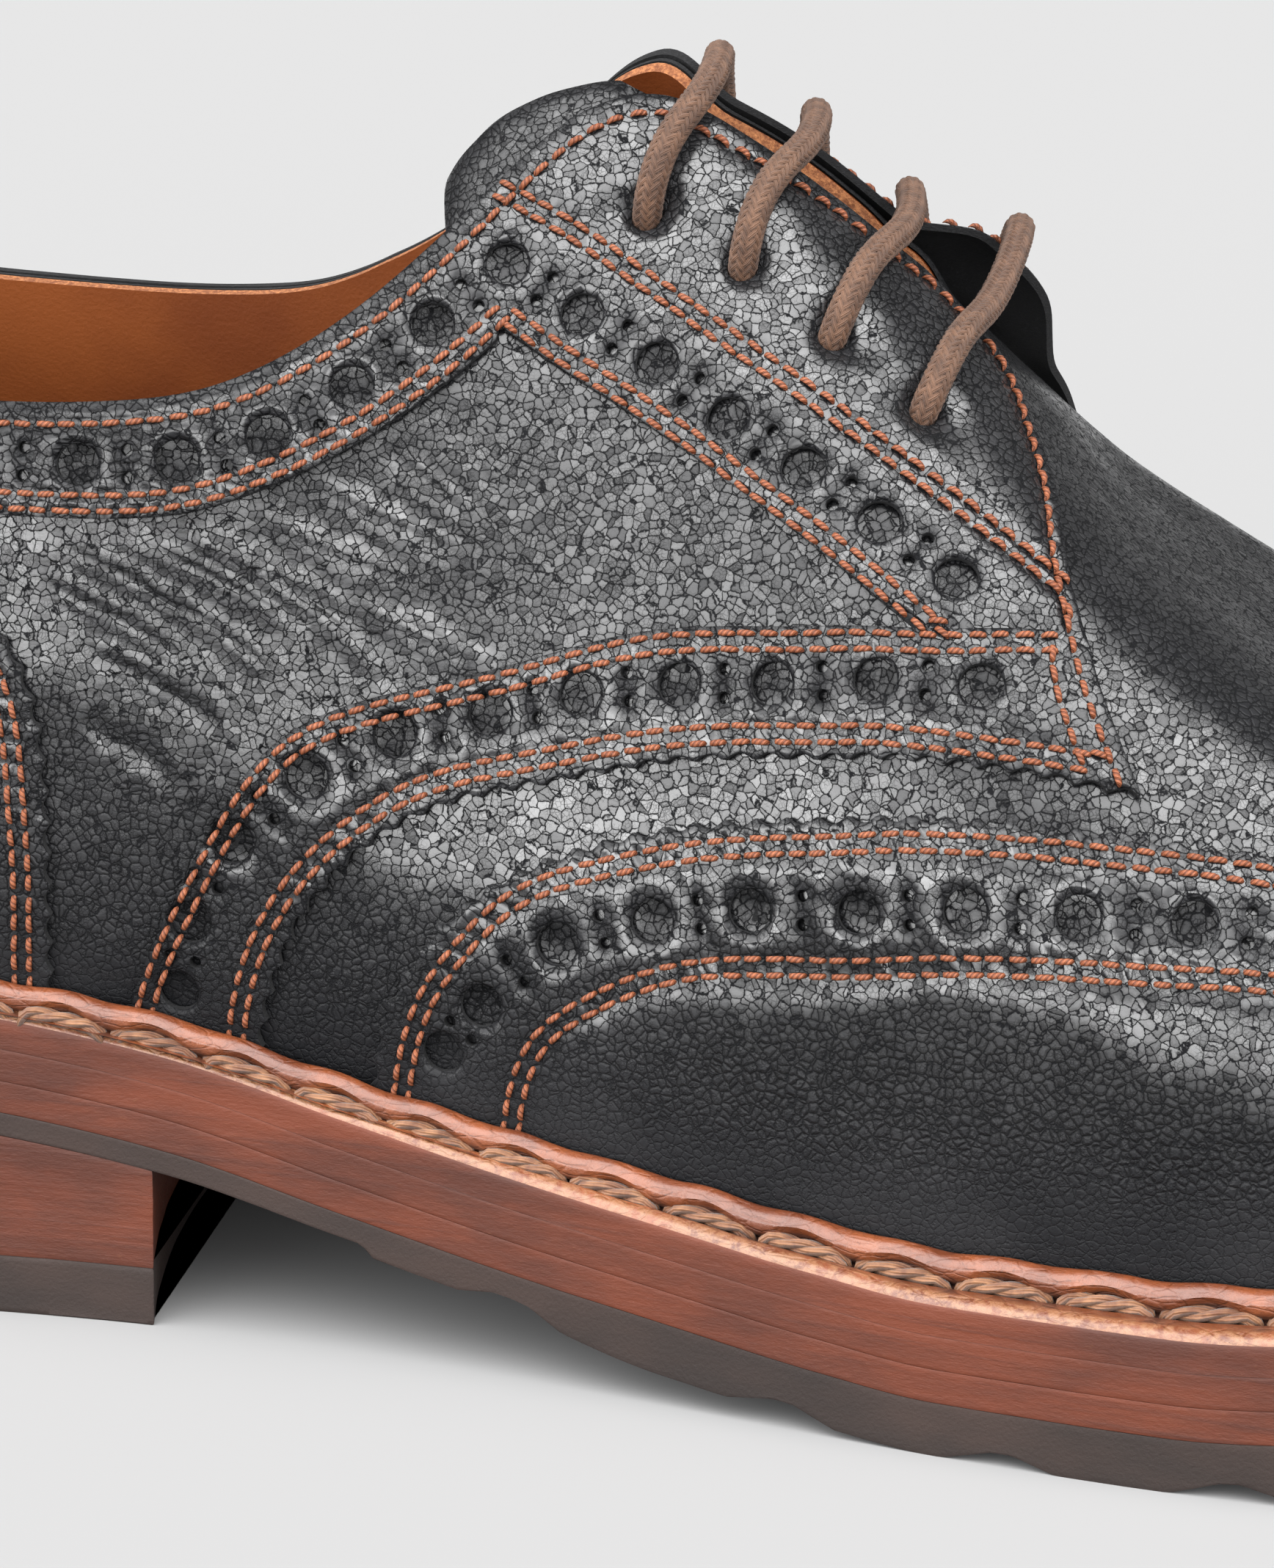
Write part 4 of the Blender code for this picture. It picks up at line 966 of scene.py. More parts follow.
def paint_raw_tan():
    """Cut edge of the tan lining."""
    p = Paint("raw_tan_edge", Specular_IOR_Level=0.25)
    fibre = p.noise(p.place(), 2100, 5.0, 0.7)
    p.set("Normal", p.bump(fibre, 0.0003))
    pale = p.within(fibre, 0.35, 0.7)
    p.set("Base Color", p.blend(pale, (0.0806, 0.0237, 0.0074), (0.2232, 0.0879, 0.0322)))
    p.set("Roughness", 0.85)
    return p.material


def paint_welt():
    """Tan welt leather, burnished on its raised parts, with a painted highlight along its rim; painted shade
    makes it dark in its groove and folds, which are fibrous.
    """
    p = Paint("tan_welt_leather", Specular_IOR_Level=0.25, Coat_Weight=0.50, Coat_Roughness=0.24)
    spot = p.place()
    fold = p.mark("fold")
    cloud = p.noise(spot, 130, 4.0, 0.6)
    skin = p.noise(p.sway(spot, 400, 0.0015), 950, 5.0, 0.68)
    speck = p.noise(spot, 3300, 3.0, 0.6)
    crease = p.cells(p.sway(p.place((0.6, 0.6, 1.5)), 500, 0.0012), 620)
    p.set("Normal", p.bump(skin * 0.8 + speck * 0.25 + p.within(crease, 0.0, 0.12) * 0.3, 0.00032))
    base = p.blend(p.within(cloud, 0.34, 0.68), (0.0588, 0.0126, 0.0027), (0.1151, 0.0291, 0.0071))
    base = p.blend(p.within(speck, 0.55, 0.75) * 0.55, base, (0.0275, 0.0056, 0.0012))
    # Painted shade: near-black where the fold mark is high, in the groove, at the lip's foot and round the
    # thread's holes.
    base = p.blend(p.within(fold, 0.15, 0.95) * 0.9, base, (0.0150, 0.0030, 0.0006))
    # Painted highlight: a lighter colour along the welt's rim, in patches where the skin noise is high.
    base = p.blend(p.mark("worn") * p.within(skin, 0.36, 0.58), base, (0.1320, 0.0580, 0.0255))
    p.set("Base Color", base)
    p.set("Roughness", 0.40 + fold * 0.35 + speck * 0.12)
    return p.material


def paint_welt_thread():
    """Thick natural thread of the welt, several plies, with painted shade in its twists."""
    p = Paint("natural_thread", Specular_IOR_Level=0.35, Sheen_Weight=0.1)
    along, around = p.thread_places()
    fibre = p.wave(around * 8.0 + along * 3.0)
    tone = p.noise(p.place(), 520, 4.0, 0.65)
    p.set("Normal", p.bump(fibre * 0.6 + tone * 0.6, 0.00018))
    lit = p.blend(p.within(tone, 0.32, 0.7), (0.0666, 0.0212, 0.0063), (0.1476, 0.0655, 0.0265))
    # Painted shade: the base colour darkens in the grooves of the fibre wave.
    p.set("Base Color", p.blend((1 - p.within(fibre, 0.0, 0.35)) * 0.4, lit, (0.0357, 0.0096, 0.0025)))
    p.set("Roughness", 0.6)
    return p.material


def paint_sole_edge(name, streak):
    """Waxed leather edge: red-brown with purple-dark patches and fine fibres along it."""
    p = Paint(name, Specular_IOR_Level=0.18, Coat_Weight=0.03, Coat_Roughness=0.4)
    cloud = p.noise(p.place((0.35, 0.35, 1.2)), 90, 5.0, 0.62)
    band = p.noise(p.place((0.10, 0.10, streak)), 240, 4.0, 0.6)
    speck = p.noise(p.place((0.5, 0.5, 1.3)), 2100, 4.0, 0.7)
    p.set("Normal", p.bump(speck * 0.7 + band * 0.5, 0.00012))
    base = p.blend(p.within(cloud, 0.33, 0.68), (0.0305, 0.0081, 0.0043), (0.0623, 0.0139, 0.0053))
    base = p.blend(p.within(band, 0.52, 0.72) * 0.45, base, (0.0212, 0.0071, 0.0050))
    base = p.blend(p.within(speck, 0.60, 0.80) * 0.45, base, (0.0796, 0.0292, 0.0124))
    p.set("Base Color", base)
    p.set("Roughness", 0.46 + speck * 0.2)
    return p.material


def paint_rubber():
    """Matt grey-brown rubber."""
    p = Paint("grey_rubber", Specular_IOR_Level=0.18)
    spot = p.place()
    cloud = p.noise(p.place((0.4, 0.4, 1.0)), 70, 4.0, 0.6)
    grit = p.noise(spot, 2600, 4.0, 0.65)
    p.set("Normal", p.bump(grit, 0.00008))
    pale = p.within(cloud, 0.35, 0.7)
    p.set("Base Color", p.blend(pale, (0.0102, 0.0071, 0.0062), (0.0184, 0.0112, 0.0091)))
    p.set("Roughness", 0.62 + grit * 0.14)
    return p.material


# Pieces

def add_piece(name, points, faces, finishes, sharp_angle, uv=None, marks=None, face_finish=None):
    """A new mesh piece that rides on the shoe; its edges look sharp past an angle in degrees."""
    mesh = bpy.data.meshes.new(name)
    mesh.from_pydata(np.asarray(points, float).tolist(), [], [tuple(map(int, f)) for f in faces])
    if uv is not None:
        layer = mesh.uv_layers.new(name="UVMap")
        corner = np.zeros(len(mesh.loops), int)
        mesh.loops.foreach_get("vertex_index", corner)
        layer.data.foreach_set("uv", np.asarray(uv, np.float32)[corner].ravel())
    for label, values in (marks or {}).items():
        layer = mesh.attributes.new(label, "FLOAT", "POINT")
        layer.data.foreach_set("value", np.asarray(values, np.float32))
    for finish in finishes:
        mesh.materials.append(finish)
    if face_finish is not None:
        mesh.polygons.foreach_set("material_index", np.asarray(face_finish, np.int32))
    mesh.shade_smooth()
    mesh.set_sharp_from_angle(angle=math.radians(sharp_angle))
    piece = bpy.data.objects.new(name, mesh)
    bpy.context.scene.collection.objects.link(piece)
    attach(piece, "root")
    return piece


EDGE_DROP = 0.22 * MM
EDGE_ROUND = 0.33 * MM


def panel(name, sides, flat, faces, low, high, relief, finishes, marks=None, back=1):
    """A leather panel: its face with relief, its back, and its cut edge, which is rounded over."""
    s, v = flat.T
    count = len(s)
    joined = (s < 1e-6) | (s > 1 - 1e-6) | ((v > 1 - 1e-6) & (s > 0.5))
    used = {(int(face[i]), int(face[(i + 1) % 3])): True for face in faces for i in range(3)}
    rim = [(a, b) for a, b in used if (b, a) not in used]
    if len(sides) == 2:
        rim = [(a, b) for a, b in rim if not (joined[a] and joined[b])]
    rim_spots = np.unique(np.array(rim).ravel())
    tops, lows, extra = [], [], []
    for side in sides:
        base = offset_point(side, s, v, high(side, s, v))
        away = near(base[rim_spots], base)
        lift = relief(side, s, v) - EDGE_DROP * np.exp(-((away / EDGE_ROUND) ** 1.5))
        labels_here = marks(side, s, v) if marks else {}
        if marks:
            labels_here["gloss"] = labels_here["gloss"] * smooth((away - 0.10 * MM) / (0.55 * MM))
        tops.append(offset_point(side, s, v, high(side, s, v) + lift) - ORIGIN)
        lows.append(offset_point(side, s, v, low(side, s, v)) - ORIGIN)
        extra.append(labels_here)
    if len(sides) == 2:
        for pair in (tops, lows):
            middle = (pair[0] + pair[1]) / 2
            for k in (0, 1):
                pair[k][joined] = middle[joined]
    points = np.vstack([np.vstack([tops[k], lows[k]]) for k in range(len(sides))])
    number = np.arange(2 * count * len(sides))
    if len(sides) == 2:
        for layer in (0, 1):
            shared = np.arange(layer * count, (layer + 1) * count)[joined]
            number[2 * count + layer * count:][:count][joined] = shared
    triangles, finish_of = [], []
    for k, side in enumerate(sides):
        turned = faces if side == 0 else faces[:, ::-1]
        start = 2 * count * k
        triangles += [number[start + turned], number[start + count + turned[:, ::-1]]]
        finish_of += [0] * len(turned) + [back] * len(turned)
        edges = np.array(rim) if side == 0 else np.array(rim)[:, ::-1]
        a, b = number[start + edges[:, 0]], number[start + edges[:, 1]]
        c, d = number[start + count + edges[:, 0]], number[start + count + edges[:, 1]]
        triangles += [np.stack([b, a, c], 1), np.stack([b, c, d], 1)]
        finish_of += [1] * (2 * len(edges))
    triangles = np.vstack(triangles)
    used, packed = np.unique(triangles, return_inverse=True)
    triangles = packed.reshape(triangles.shape)
    labels = {}
    for key in extra[0]:
        values = np.concatenate([np.concatenate([e[key], e[key]]) for e in extra])
        labels[key] = values[used]
    return add_piece(name, points[used], triangles, finishes, 55, marks=labels, face_finish=finish_of)


def smooth_noise(spots, size, seed=0):
    """Soft random heights from -1 to 1 over space, on a lattice of the given size."""
    spots = np.asarray(spots) / size + seed * 17.3
    cell = np.floor(spots).astype(np.int64)
    part = spots - cell
    part = part * part * (3 - 2 * part)
    total = np.zeros(len(spots))
    for corner in range(8):
        step = np.array([(corner >> k) & 1 for k in range(3)])
        key = cell + step
        mixed = (key[:, 0] * 73856093) ^ (key[:, 1] * 19349663) ^ (key[:, 2] * 83492791)
        mixed = (mixed ^ (mixed >> 13)) * 1274126177 & 0x7FFFFFFF
        mixed = (mixed ^ (mixed >> 11)) & 0xFFFF
        weight = np.prod(np.where(step, part, 1 - part), axis=1)
        total += (mixed / 32767.5 - 1) * weight
    return total


def leather_relief(side, rows, holes, eyelets):
    """Heights of a panel's face: sunk stitch rows, softened hole rims, puckers at the eyelets."""
    row_spots = np.vstack([row.spots[::2] for row in rows])
    knots = np.vstack([row.spots[row.pick(row.stitches() + 1)] for row in rows])
    big = [last_point(side, h[0], h[1]) for h in holes if h[2] == BIG_HOLE]
    eyes = [last_point(side, s, v) for s, v in eyelets]

    def height(s, v):
        spots = last_point(side, s, v)
        lift = np.zeros(len(s))
        lift -= 0.20 * MM * np.exp(-(near(row_spots, spots) / (0.62 * MM)) ** 2)
        lift -= 0.26 * MM * np.exp(-(near(knots, spots) / (0.50 * MM)) ** 2)
        if big:
            away = np.maximum(near(big, spots) - BIG_HOLE, 0)
            lift -= 0.22 * MM * np.exp(-away / (0.45 * MM))
        for eye in eyes:
            offset = spots - eye
            away = np.linalg.norm(offset, axis=1)
            pucker = np.cos(5 * np.arctan2(offset[:, 2], offset[:, 0]))
            lift += 0.12 * MM * (pucker * np.exp(-((away - 4 * MM) / (2.2 * MM)) ** 2))
        lift += 0.14 * MM * smooth_noise(spots, 9 * MM) + 0.06 * MM * smooth_noise(spots, 4 * MM, 3)
        return lift

    return height


def crease_height(side, spots):
    """Gentle unevenness everywhere, and the creases of the quarter."""
    lift = 0.16 * MM * smooth_noise(spots, 9 * MM) + 0.07 * MM * smooth_noise(spots, 4 * MM, 3)
    for table in CREASES:
        line = Line(side, table, 0.8 * MM)
        away = near(line.spots, spots)
        reach = np.linspace(-1, 1, len(line.s))
        near_end = away < 3 * MM
        share = np.zeros(len(spots))
        if near_end.any():
            gaps = np.linalg.norm(spots[near_end][:, None] - line.spots[None], axis=2)
            share[near_end] = 1 - reach[np.argmin(gaps, axis=1)] ** 2
        lift += share * MM * (0.10 * np.exp(-((away - 1.0 * MM) / (0.6 * MM)) ** 2)
                              - 0.26 * np.exp(-(away / (0.5 * MM)) ** 2))
    return lift


def crease_points(side):
    """Flat points along each crease, so that the leather can bend there."""
    points = []
    for table in CREASES:
        line = Line(side, table, 0.8 * MM)
        points.append(line.flat())
        points += [beside_flat(line, away) for away in (-0.75 * MM, 0.75 * MM)]
    return points


def leather_marks(side, s, v):
    """Where the grain is calm, coarse or folded, and how glossy it is."""
    noise = smooth_noise(np.stack([s * 6, v * 6, np.full(len(s), side)], 1), 0.5, 4) * 0.04
    calm = 1 - smooth((v + noise - 0.08) / 0.16)
    coarse = smooth((s - 0.42) / 0.10) * smooth((v - 0.10) / 0.08) * (1 - smooth((v - 0.27) / 0.07))
    folded = np.exp(-(((s - 0.315) / 0.085) ** 2 + ((v - 0.50) / 0.17) ** 2) ** 1.5)
    gloss = smooth((v - 0.14 + noise) / 0.17) * (1 - 0.40 * folded)
    gloss = gloss * (1 - 0.60 * (1 - smooth((s - 0.27) / 0.09)) * smooth((v - 0.60) / 0.07))
    return {"calm": calm, "coarse": coarse, "folded": folded, "gloss": gloss}


def wall_marks(side, s, v):
    """The same on the upper, which is dull at the bottom of every punched hole."""
    found = leather_marks(side, s, v)
    away = near(hole_middles(side), last_point(side, s, v))
    found["gloss"] = found["gloss"] * (0.22 + 0.78 * smooth((away - BIG_HOLE) / (1.0 * MM)))
    return found


def hole_middles(side):
    holes = [hole for group in HOLES[side].values() for hole in group]
    return [last_point(side, hole[0], hole[1]) for hole in holes if hole[2] == BIG_HOLE]


def chain(rows, spacing):
    return curve_through(np.array(rows) * PATTERN_SCALE, spacing)


def straight(start, end, spacing):
    start, end = np.array(start) * PATTERN_SCALE, np.array(end) * PATTERN_SCALE
    count = max(2, int(math.ceil(np.linalg.norm(end - start) / spacing)) + 1)
    return np.linspace(start, end, count)


def joined_loop(*lines):
    """Closed outline from lines end to end, without repeated corners."""
    loop = np.vstack(lines)
    step = np.linalg.norm(loop - np.roll(loop, 1, 0), axis=1)
    return loop[step > 0.05 * MM]


def row_points(rows):
    """Points along stitch rows and beside them, where the leather is pulled in."""
    points = []
    for row in rows:
        points.append(row.flat()[row.pick(row.stitches() * 4 + 1)])
        for away in (-0.6 * MM, 0.6 * MM):
            rail = beside_flat(row, away)
            points.append(rail[row.pick(row.stitches() * 2 + 1)])
    return points


def rim_points(side, holes):
    points = []
    for hole in holes:
        if hole[2] == BIG_HOLE:
            points += [ring(side, hole, hole[2] + 0.35 * MM, 22), ring(side, hole, hole[2] + 0.85 * MM, 20)]
        else:
            points.append(ring(side, hole, hole[2] + 0.3 * MM, 10))
    return points


def inner_edge(outline, inset=0.38 * MM):
    """The outline again, just inside itself."""
    ahead = np.roll(outline, -1, 0) - np.roll(outline, 1, 0)
    ahead /= np.maximum(np.linalg.norm(ahead, axis=1, keepdims=True), 1e-9)
    inward = np.stack([-ahead[:, 1], ahead[:, 0]], 1)
    area = cross_flat(outline, np.roll(outline, -1, 0)).sum()
    return [outline + inward * inset * (1 if area > 0 else -1)]


def tube_faces(first, rings, around):
    """Faces of a closed tube whose rings of points are numbered on from first, with both of its ends."""
    faces = []
    for j in range(rings - 1):
        low, high = first + around * j, first + around * (j + 1)
        faces += [(low + i, low + (i + 1) % around, high + (i + 1) % around, high + i) for i in range(around)]
    last = first + around * (rings - 1)
    return faces + [tuple(range(first + around - 1, first - 1, -1)), tuple(range(last, last + around))]


STITCH_THICK = 0.30 * MM
STITCH_REACH = 0.88 * MM


def sewn(name, rows, rise, finish):
    """Stitches along rows: short arched threads whose ends dive into the leather."""
    around = round_angles(8)
    along = np.array([-1.0, -0.82, -0.35, 0.35, 0.82, 1.0])
    sink = np.array([-0.45, -0.14, 0.10, 0.10, -0.14, -0.45]) * MM
    wide = np.array([0.35, 0.85, 1.0, 1.0, 0.85, 0.35]) * STITCH_THICK
    points, faces, uv = [], [], []
    for row in rows:
        count = row.stitches()
        picks = np.round((np.arange(count) + 0.5) / count * (len(row.s) - 1)).astype(int)
        base = offset_point(row.side, row.s[picks], row.v[picks], rise(row.s[picks], row.v[picks])) - ORIGIN
        for middle, ahead, left, normal, pick in zip(
                base, row.ahead[picks], row.left[picks], row.normal[picks], picks):
            turned = ahead + left * 0.07 * math.cos(pick * 2.1)
            reach = STITCH_REACH * (1 + 0.05 * math.sin(pick * 1.7))
            faces += tube_faces(len(points) * 8, 6, 8)
            for k in range(6):
                centre = middle + turned * along[k] * reach + normal * sink[k]
                points.append(centre + circle(around, left, normal) * wide[k])
                uv.append(np.stack([np.full(8, (along[k] + 1) / 2), around / (2 * math.pi)], 1))
    points = np.vstack(points)
    faces = outward(points, faces, 42)
    return add_piece(name, points, faces, [finish], 80, uv=np.vstack(uv))


def outward(points, faces, each):
    """Turn the faces of every repeated closed shape so that they look out of it."""
    turned = []
    for first in range(0, len(faces), each):
        group = faces[first:first + each]
        volume = 0.0
        centre = points[list(group[0])].mean(axis=0)
        for face in group:
            corners = points[list(face)] - centre
            for i in range(1, len(face) - 1):
                volume += np.dot(corners[0], np.cross(corners[i], corners[i + 1]))
        turned += [tuple(face[::-1]) for face in group] if volume < 0 else group
    return turned


# Sole parts as sections round the shoe

STATIONS = 400
_half = np.linspace(0, 1, STATIONS)
_heel_to_toe = [(0, s) for s in _half]
_toe_to_heel = [(1, s) for s in _half[-2:0:-1]]
SIDE_OF = np.array([side for side, _ in _heel_to_toe + _toe_to_heel])
SHARE_OF = np.array([s for _, s in _heel_to_toe + _toe_to_heel])
PLAN = np.where((SIDE_OF == 0)[:, None], plan_at(0, SHARE_OF), plan_at(1, SHARE_OF))
FEATHER, OUT, EDGE = PLAN[:, 0:2], PLAN[:, 2:4], PLAN[:, 4:6]
AROUND = len(EDGE)


def section(inset, height):
    """One line of a sole section all the way round, in from the sole's edge, at heights given by place."""
    flat = EDGE - OUT * np.broadcast_to(inset, (AROUND,))[:, None]
    return np.column_stack([flat, np.broadcast_to(height, (AROUND,))])


def swept(name, lines, finishes, ring_shape=False, marks=None, finish_of=None, angle=40):
    """Piece from lines round the shoe, bottom inner first; unless ring_shape, it closes across the shoe."""
    points = np.vstack(lines) - ORIGIN
    faces, finish_index = [], []
    count = len(lines)
    for k in range(count if ring_shape else count - 1):
        low, high = k * AROUND, (k + 1) % count * AROUND
        for i in range(AROUND):
            j = (i + 1) % AROUND
            faces.append((low + i, low + j, high + j, high + i))
        finish_index += [finish_of[k] if finish_of else 0] * AROUND
    if not ring_shape:
        top = (count - 1) * AROUND
        for i in range(STATIONS - 1):
            a, b = i, i + 1
            c, d = (AROUND - i) % AROUND, (AROUND - i - 1) % AROUND
            for base, turn in ((0, 1), (top, -1)):
                corners = []
                for corner in (a, c, d, b)[::turn]:
                    if base + corner not in corners:
                        corners.append(base + corner)
                if len(corners) > 2:
                    faces.append(tuple(corners))
                    finish_index.append(0)
    return add_piece(name, points, faces, finishes, angle, marks=marks, face_finish=finish_index)


def edge_noise(size, amount, seed, height=0.0):
    """Small unevenness of a worked edge."""
    spots = np.column_stack([EDGE, np.full(AROUND, height)])
    return smooth_noise(spots, size, seed) * amount


LAYER_SOFT = 0.04 * MM     # rounding of a layer's edges
LAYER_REACH = 14 * MM      # how far in from the sole's edge a layer's underside is shaped
LAYER_JOINT = 0.04 * MM    # left open between layers
NOISE_LAYER = 3 * MM       # height of a layer in the noise that makes its edge uneven
DIP_SHARES = (1, 1, 1, 1, 1, 0.95, 0.6)   # of a notch's depth, on a layer's lines from LAYER_REACH outward


def make_layer(name, bottom, top, finishes, start, dip=None):
    """A sole layer with softened, slightly uneven edges. The unevenness runs on from layer to layer."""
    x = EDGE[:, 0]
    low, high = bottom(x), top(x)
    tall = high - low
    lines = [section(away, low) for away in (LAYER_REACH, 13.2 * MM, 12.6 * MM, 6 * MM, 2 * MM, LAYER_SOFT)]
    for share in (0.0, 0.04, 0.12, 0.3, 0.5, 0.7, 0.88, 0.96, 1.0):
        height = start + share * 3 * MM
        wave = edge_noise(5 * MM, 0.05 * MM, 20, height) + edge_noise(1.4 * MM, 0.012 * MM, 21, height)
        corner = np.clip(min(share, 1 - share) * tall / LAYER_SOFT, 0, 1)
        round_in = LAYER_SOFT * (1 - np.sqrt(np.clip(1 - (1 - corner) ** 2, 0, 1)))
        lines.append(section(round_in - wave, low + share * tall))
    lines += [section(LAYER_SOFT + 0.4 * MM, high), section(LAYER_REACH, high)]
    if dip is not None:
        for line, share in zip(lines[2:], DIP_SHARES):
            line[:, 2] += dip(line[:, 0]) * share
    return swept(name, lines, finishes)


NOTCH_PITCH = 0.0211
NOTCH_HALF = 5.3 * MM
NOTCH_DEPTH = 1.3 * MM
NOTCHES = [0.392 * LENGTH, *np.arange(0.481 * LENGTH, 0.93 * LENGTH, NOTCH_PITCH)]


def notch_depth(x):
    """How far the tread's edge is cut away at a place. A notch is steeper on its side to the toe."""
    depth = np.zeros(len(x))
    for place in NOTCHES:
        away = x - place
        cut = np.minimum((away + NOTCH_HALF) / (4.6 * MM), (NOTCH_HALF - away) / (4.0 * MM))
        depth = np.maximum(depth, np.clip(cut, 0, 1) * NOTCH_DEPTH)
    return depth


def welt_wall(heights, hug):
    """Lines round the shoe where the last, grown by a hug, stands at heights over the welt's edge."""
    v = np.linspace(0, 0.3, 61)
    grid_s, grid_v = np.meshgrid(SHARE_OF, v, indexing="ij")
    walls = [offset_point(side, grid_s, grid_v, np.full_like(grid_s, hug)) for side in (0, 1)]
    wall = np.where((SIDE_OF == 0)[:, None, None], walls[0], walls[1])
    over = wall[..., 2] - welt_edge(wall[..., 0])
    lines = []
    for height in heights:
        height = np.broadcast_to(height, (AROUND,))
        share = np.array([np.interp(height[i], over[i], v) for i in range(AROUND)])
        line = np.stack([[np.interp(share[i], v, wall[i, :, k]) for i in range(AROUND)] for k in range(3)], 1)
        lines.append(line)
    return lines


THREAD_PITCH = 9.6 * MM
_walk = np.cumsum(np.linalg.norm(FEATHER - np.roll(FEATHER, 1, 0), axis=1))
THREADS = int(round(_walk[-1] / THREAD_PITCH))
TURN = 2 * math.pi * THREADS * _walk / _walk[-1]


def make_welt(tan, edge_finish):
    """Storm welt: side, sloped rim, ledge, groove for the thread and the raised lip pressed to the upper."""
    wave = np.cos(TURN)
    ripple = edge_noise(6 * MM, 1.0, 11)
    fine = edge_noise(2.2 * MM, 1.0, 12)
    lip = WELT_STEP + LIP_HEIGHT + (0.16 * wave + 0.14 * ripple + 0.08 * fine) * MM
    low_lip = WELT_STEP + (0.85 + 0.55 * wave + 0.22 * ripple + 0.12 * fine) * MM
    top_wall, mid_wall, root_wall, deep_wall = welt_wall([lip, low_lip, WELT_STEP, -WELT / 2], WELT_HUG)
    out3 = np.column_stack([OUT, np.zeros(AROUND)])
    up = np.array([0.0, 0.0, 1.0])

    def off(line, away, rise=0.0):
        return line + out3 * np.broadcast_to(away, (AROUND,))[:, None] + up * rise

    thick = LIP_THICK + (0.20 * ripple + 0.12 * fine - 0.24 * wave) * MM
    x = EDGE[:, 0]
    lines = [section(0.0, welt_bottom(x))]
    for share in (0.10, 0.35, 0.65, 0.9, 1.0):
        uneven = edge_noise(5 * MM, 0.05 * MM, 20, (6 + share * 3) * MM)
        lines.append(section((0.10 * MM if share == 1 else 0.0) - uneven, welt_bottom(x) + share * WELT))
    rim = WELT_BEVEL + (0.15 * ripple + 0.10 * fine) * MM
    lines.append(section(0.35 * rim, welt_edge(x) + 0.55 * WELT_STEP))
    lines.append(section(0.80 * rim, welt_edge(x) + 1.02 * WELT_STEP))
    lines.append(section(1.15 * rim, welt_edge(x) + WELT_STEP + 0.03 * MM * fine))
    ledge = off(root_wall, LIP_THICK + 1.15 * MM + 0.1 * MM * ripple)
    ledge[:, 2] = welt_edge(ledge[:, 0]) + WELT_STEP + 0.05 * MM * fine
    groove = off(root_wall, LIP_THICK + 0.35 * MM)
    groove[:, 2] = welt_edge(groove[:, 0]) + WELT_STEP - 0.45 * MM
    deep = off(root_wall, LIP_THICK - 0.60 * MM)
    deep[:, 2] = welt_edge(deep[:, 0]) + WELT_STEP - 0.25 * MM
    lines += [ledge, groove, deep]
    lines.append(off(mid_wall, thick - 0.30 * MM, -0.10 * MM))
    lines.append(off(mid_wall, thick + 0.15 * MM, 0.30 * MM))
    lines.append(off((mid_wall + top_wall) / 2, thick + 0.28 * MM))
    lines.append(off(top_wall, thick * 0.95, -0.62 * MM))
    lines.append(off(top_wall, thick * 0.72, -0.12 * MM))
    lines.append(off(top_wall, thick * 0.38, 0.06 * MM))
    lines.append(off(top_wall, thick * 0.10, -0.04 * MM))
    lines += [top_wall + up * -0.15 * MM, root_wall, deep_wall]
    foot = [offset_point(side, SHARE_OF, np.zeros(AROUND), np.full(AROUND, WELT_HUG)) for side in (0, 1)]
    foot = np.where((SIDE_OF == 0)[:, None], foot[0], foot[1])
    foot[:, 2] = welt_bottom(foot[:, 0])
    lines.append(foot)
    # Fold mark: painted shade in the thread's groove, at the foot of the lip and round the holes where the
    # thread dives in; it also makes these places rougher.
    fold = by_line(lines, {9: 0.1, 10: 1.0, 11: 1.0, 12: 0.7})
    # Painted highlight on the top of the welt's side and on its sloped rim.
    worn = by_line(lines, {5: 0.8, 6: 1.0, 7: 0.7, 8: 0.3})
    holes = np.clip(-wave - 0.55, 0, 1) * 2
    for k in (8, 9, 12, 13):
        fold[k] = np.maximum(fold[k], holes * 0.7)
    kind = [1] * 5 + [0] * (len(lines) - 6) + [1]
    swept("welt_looks", lines, [tan, edge_finish], True,
          {"fold": fold.ravel(), "worn": worn.ravel()}, kind, 48)
    return root_wall


def by_line(lines, values):
    """A mark with the given values on some of the lines round the shoe, and 0 on the others."""
    return np.array([np.full(AROUND, values.get(k, 0.0)) for k in range(len(lines))])


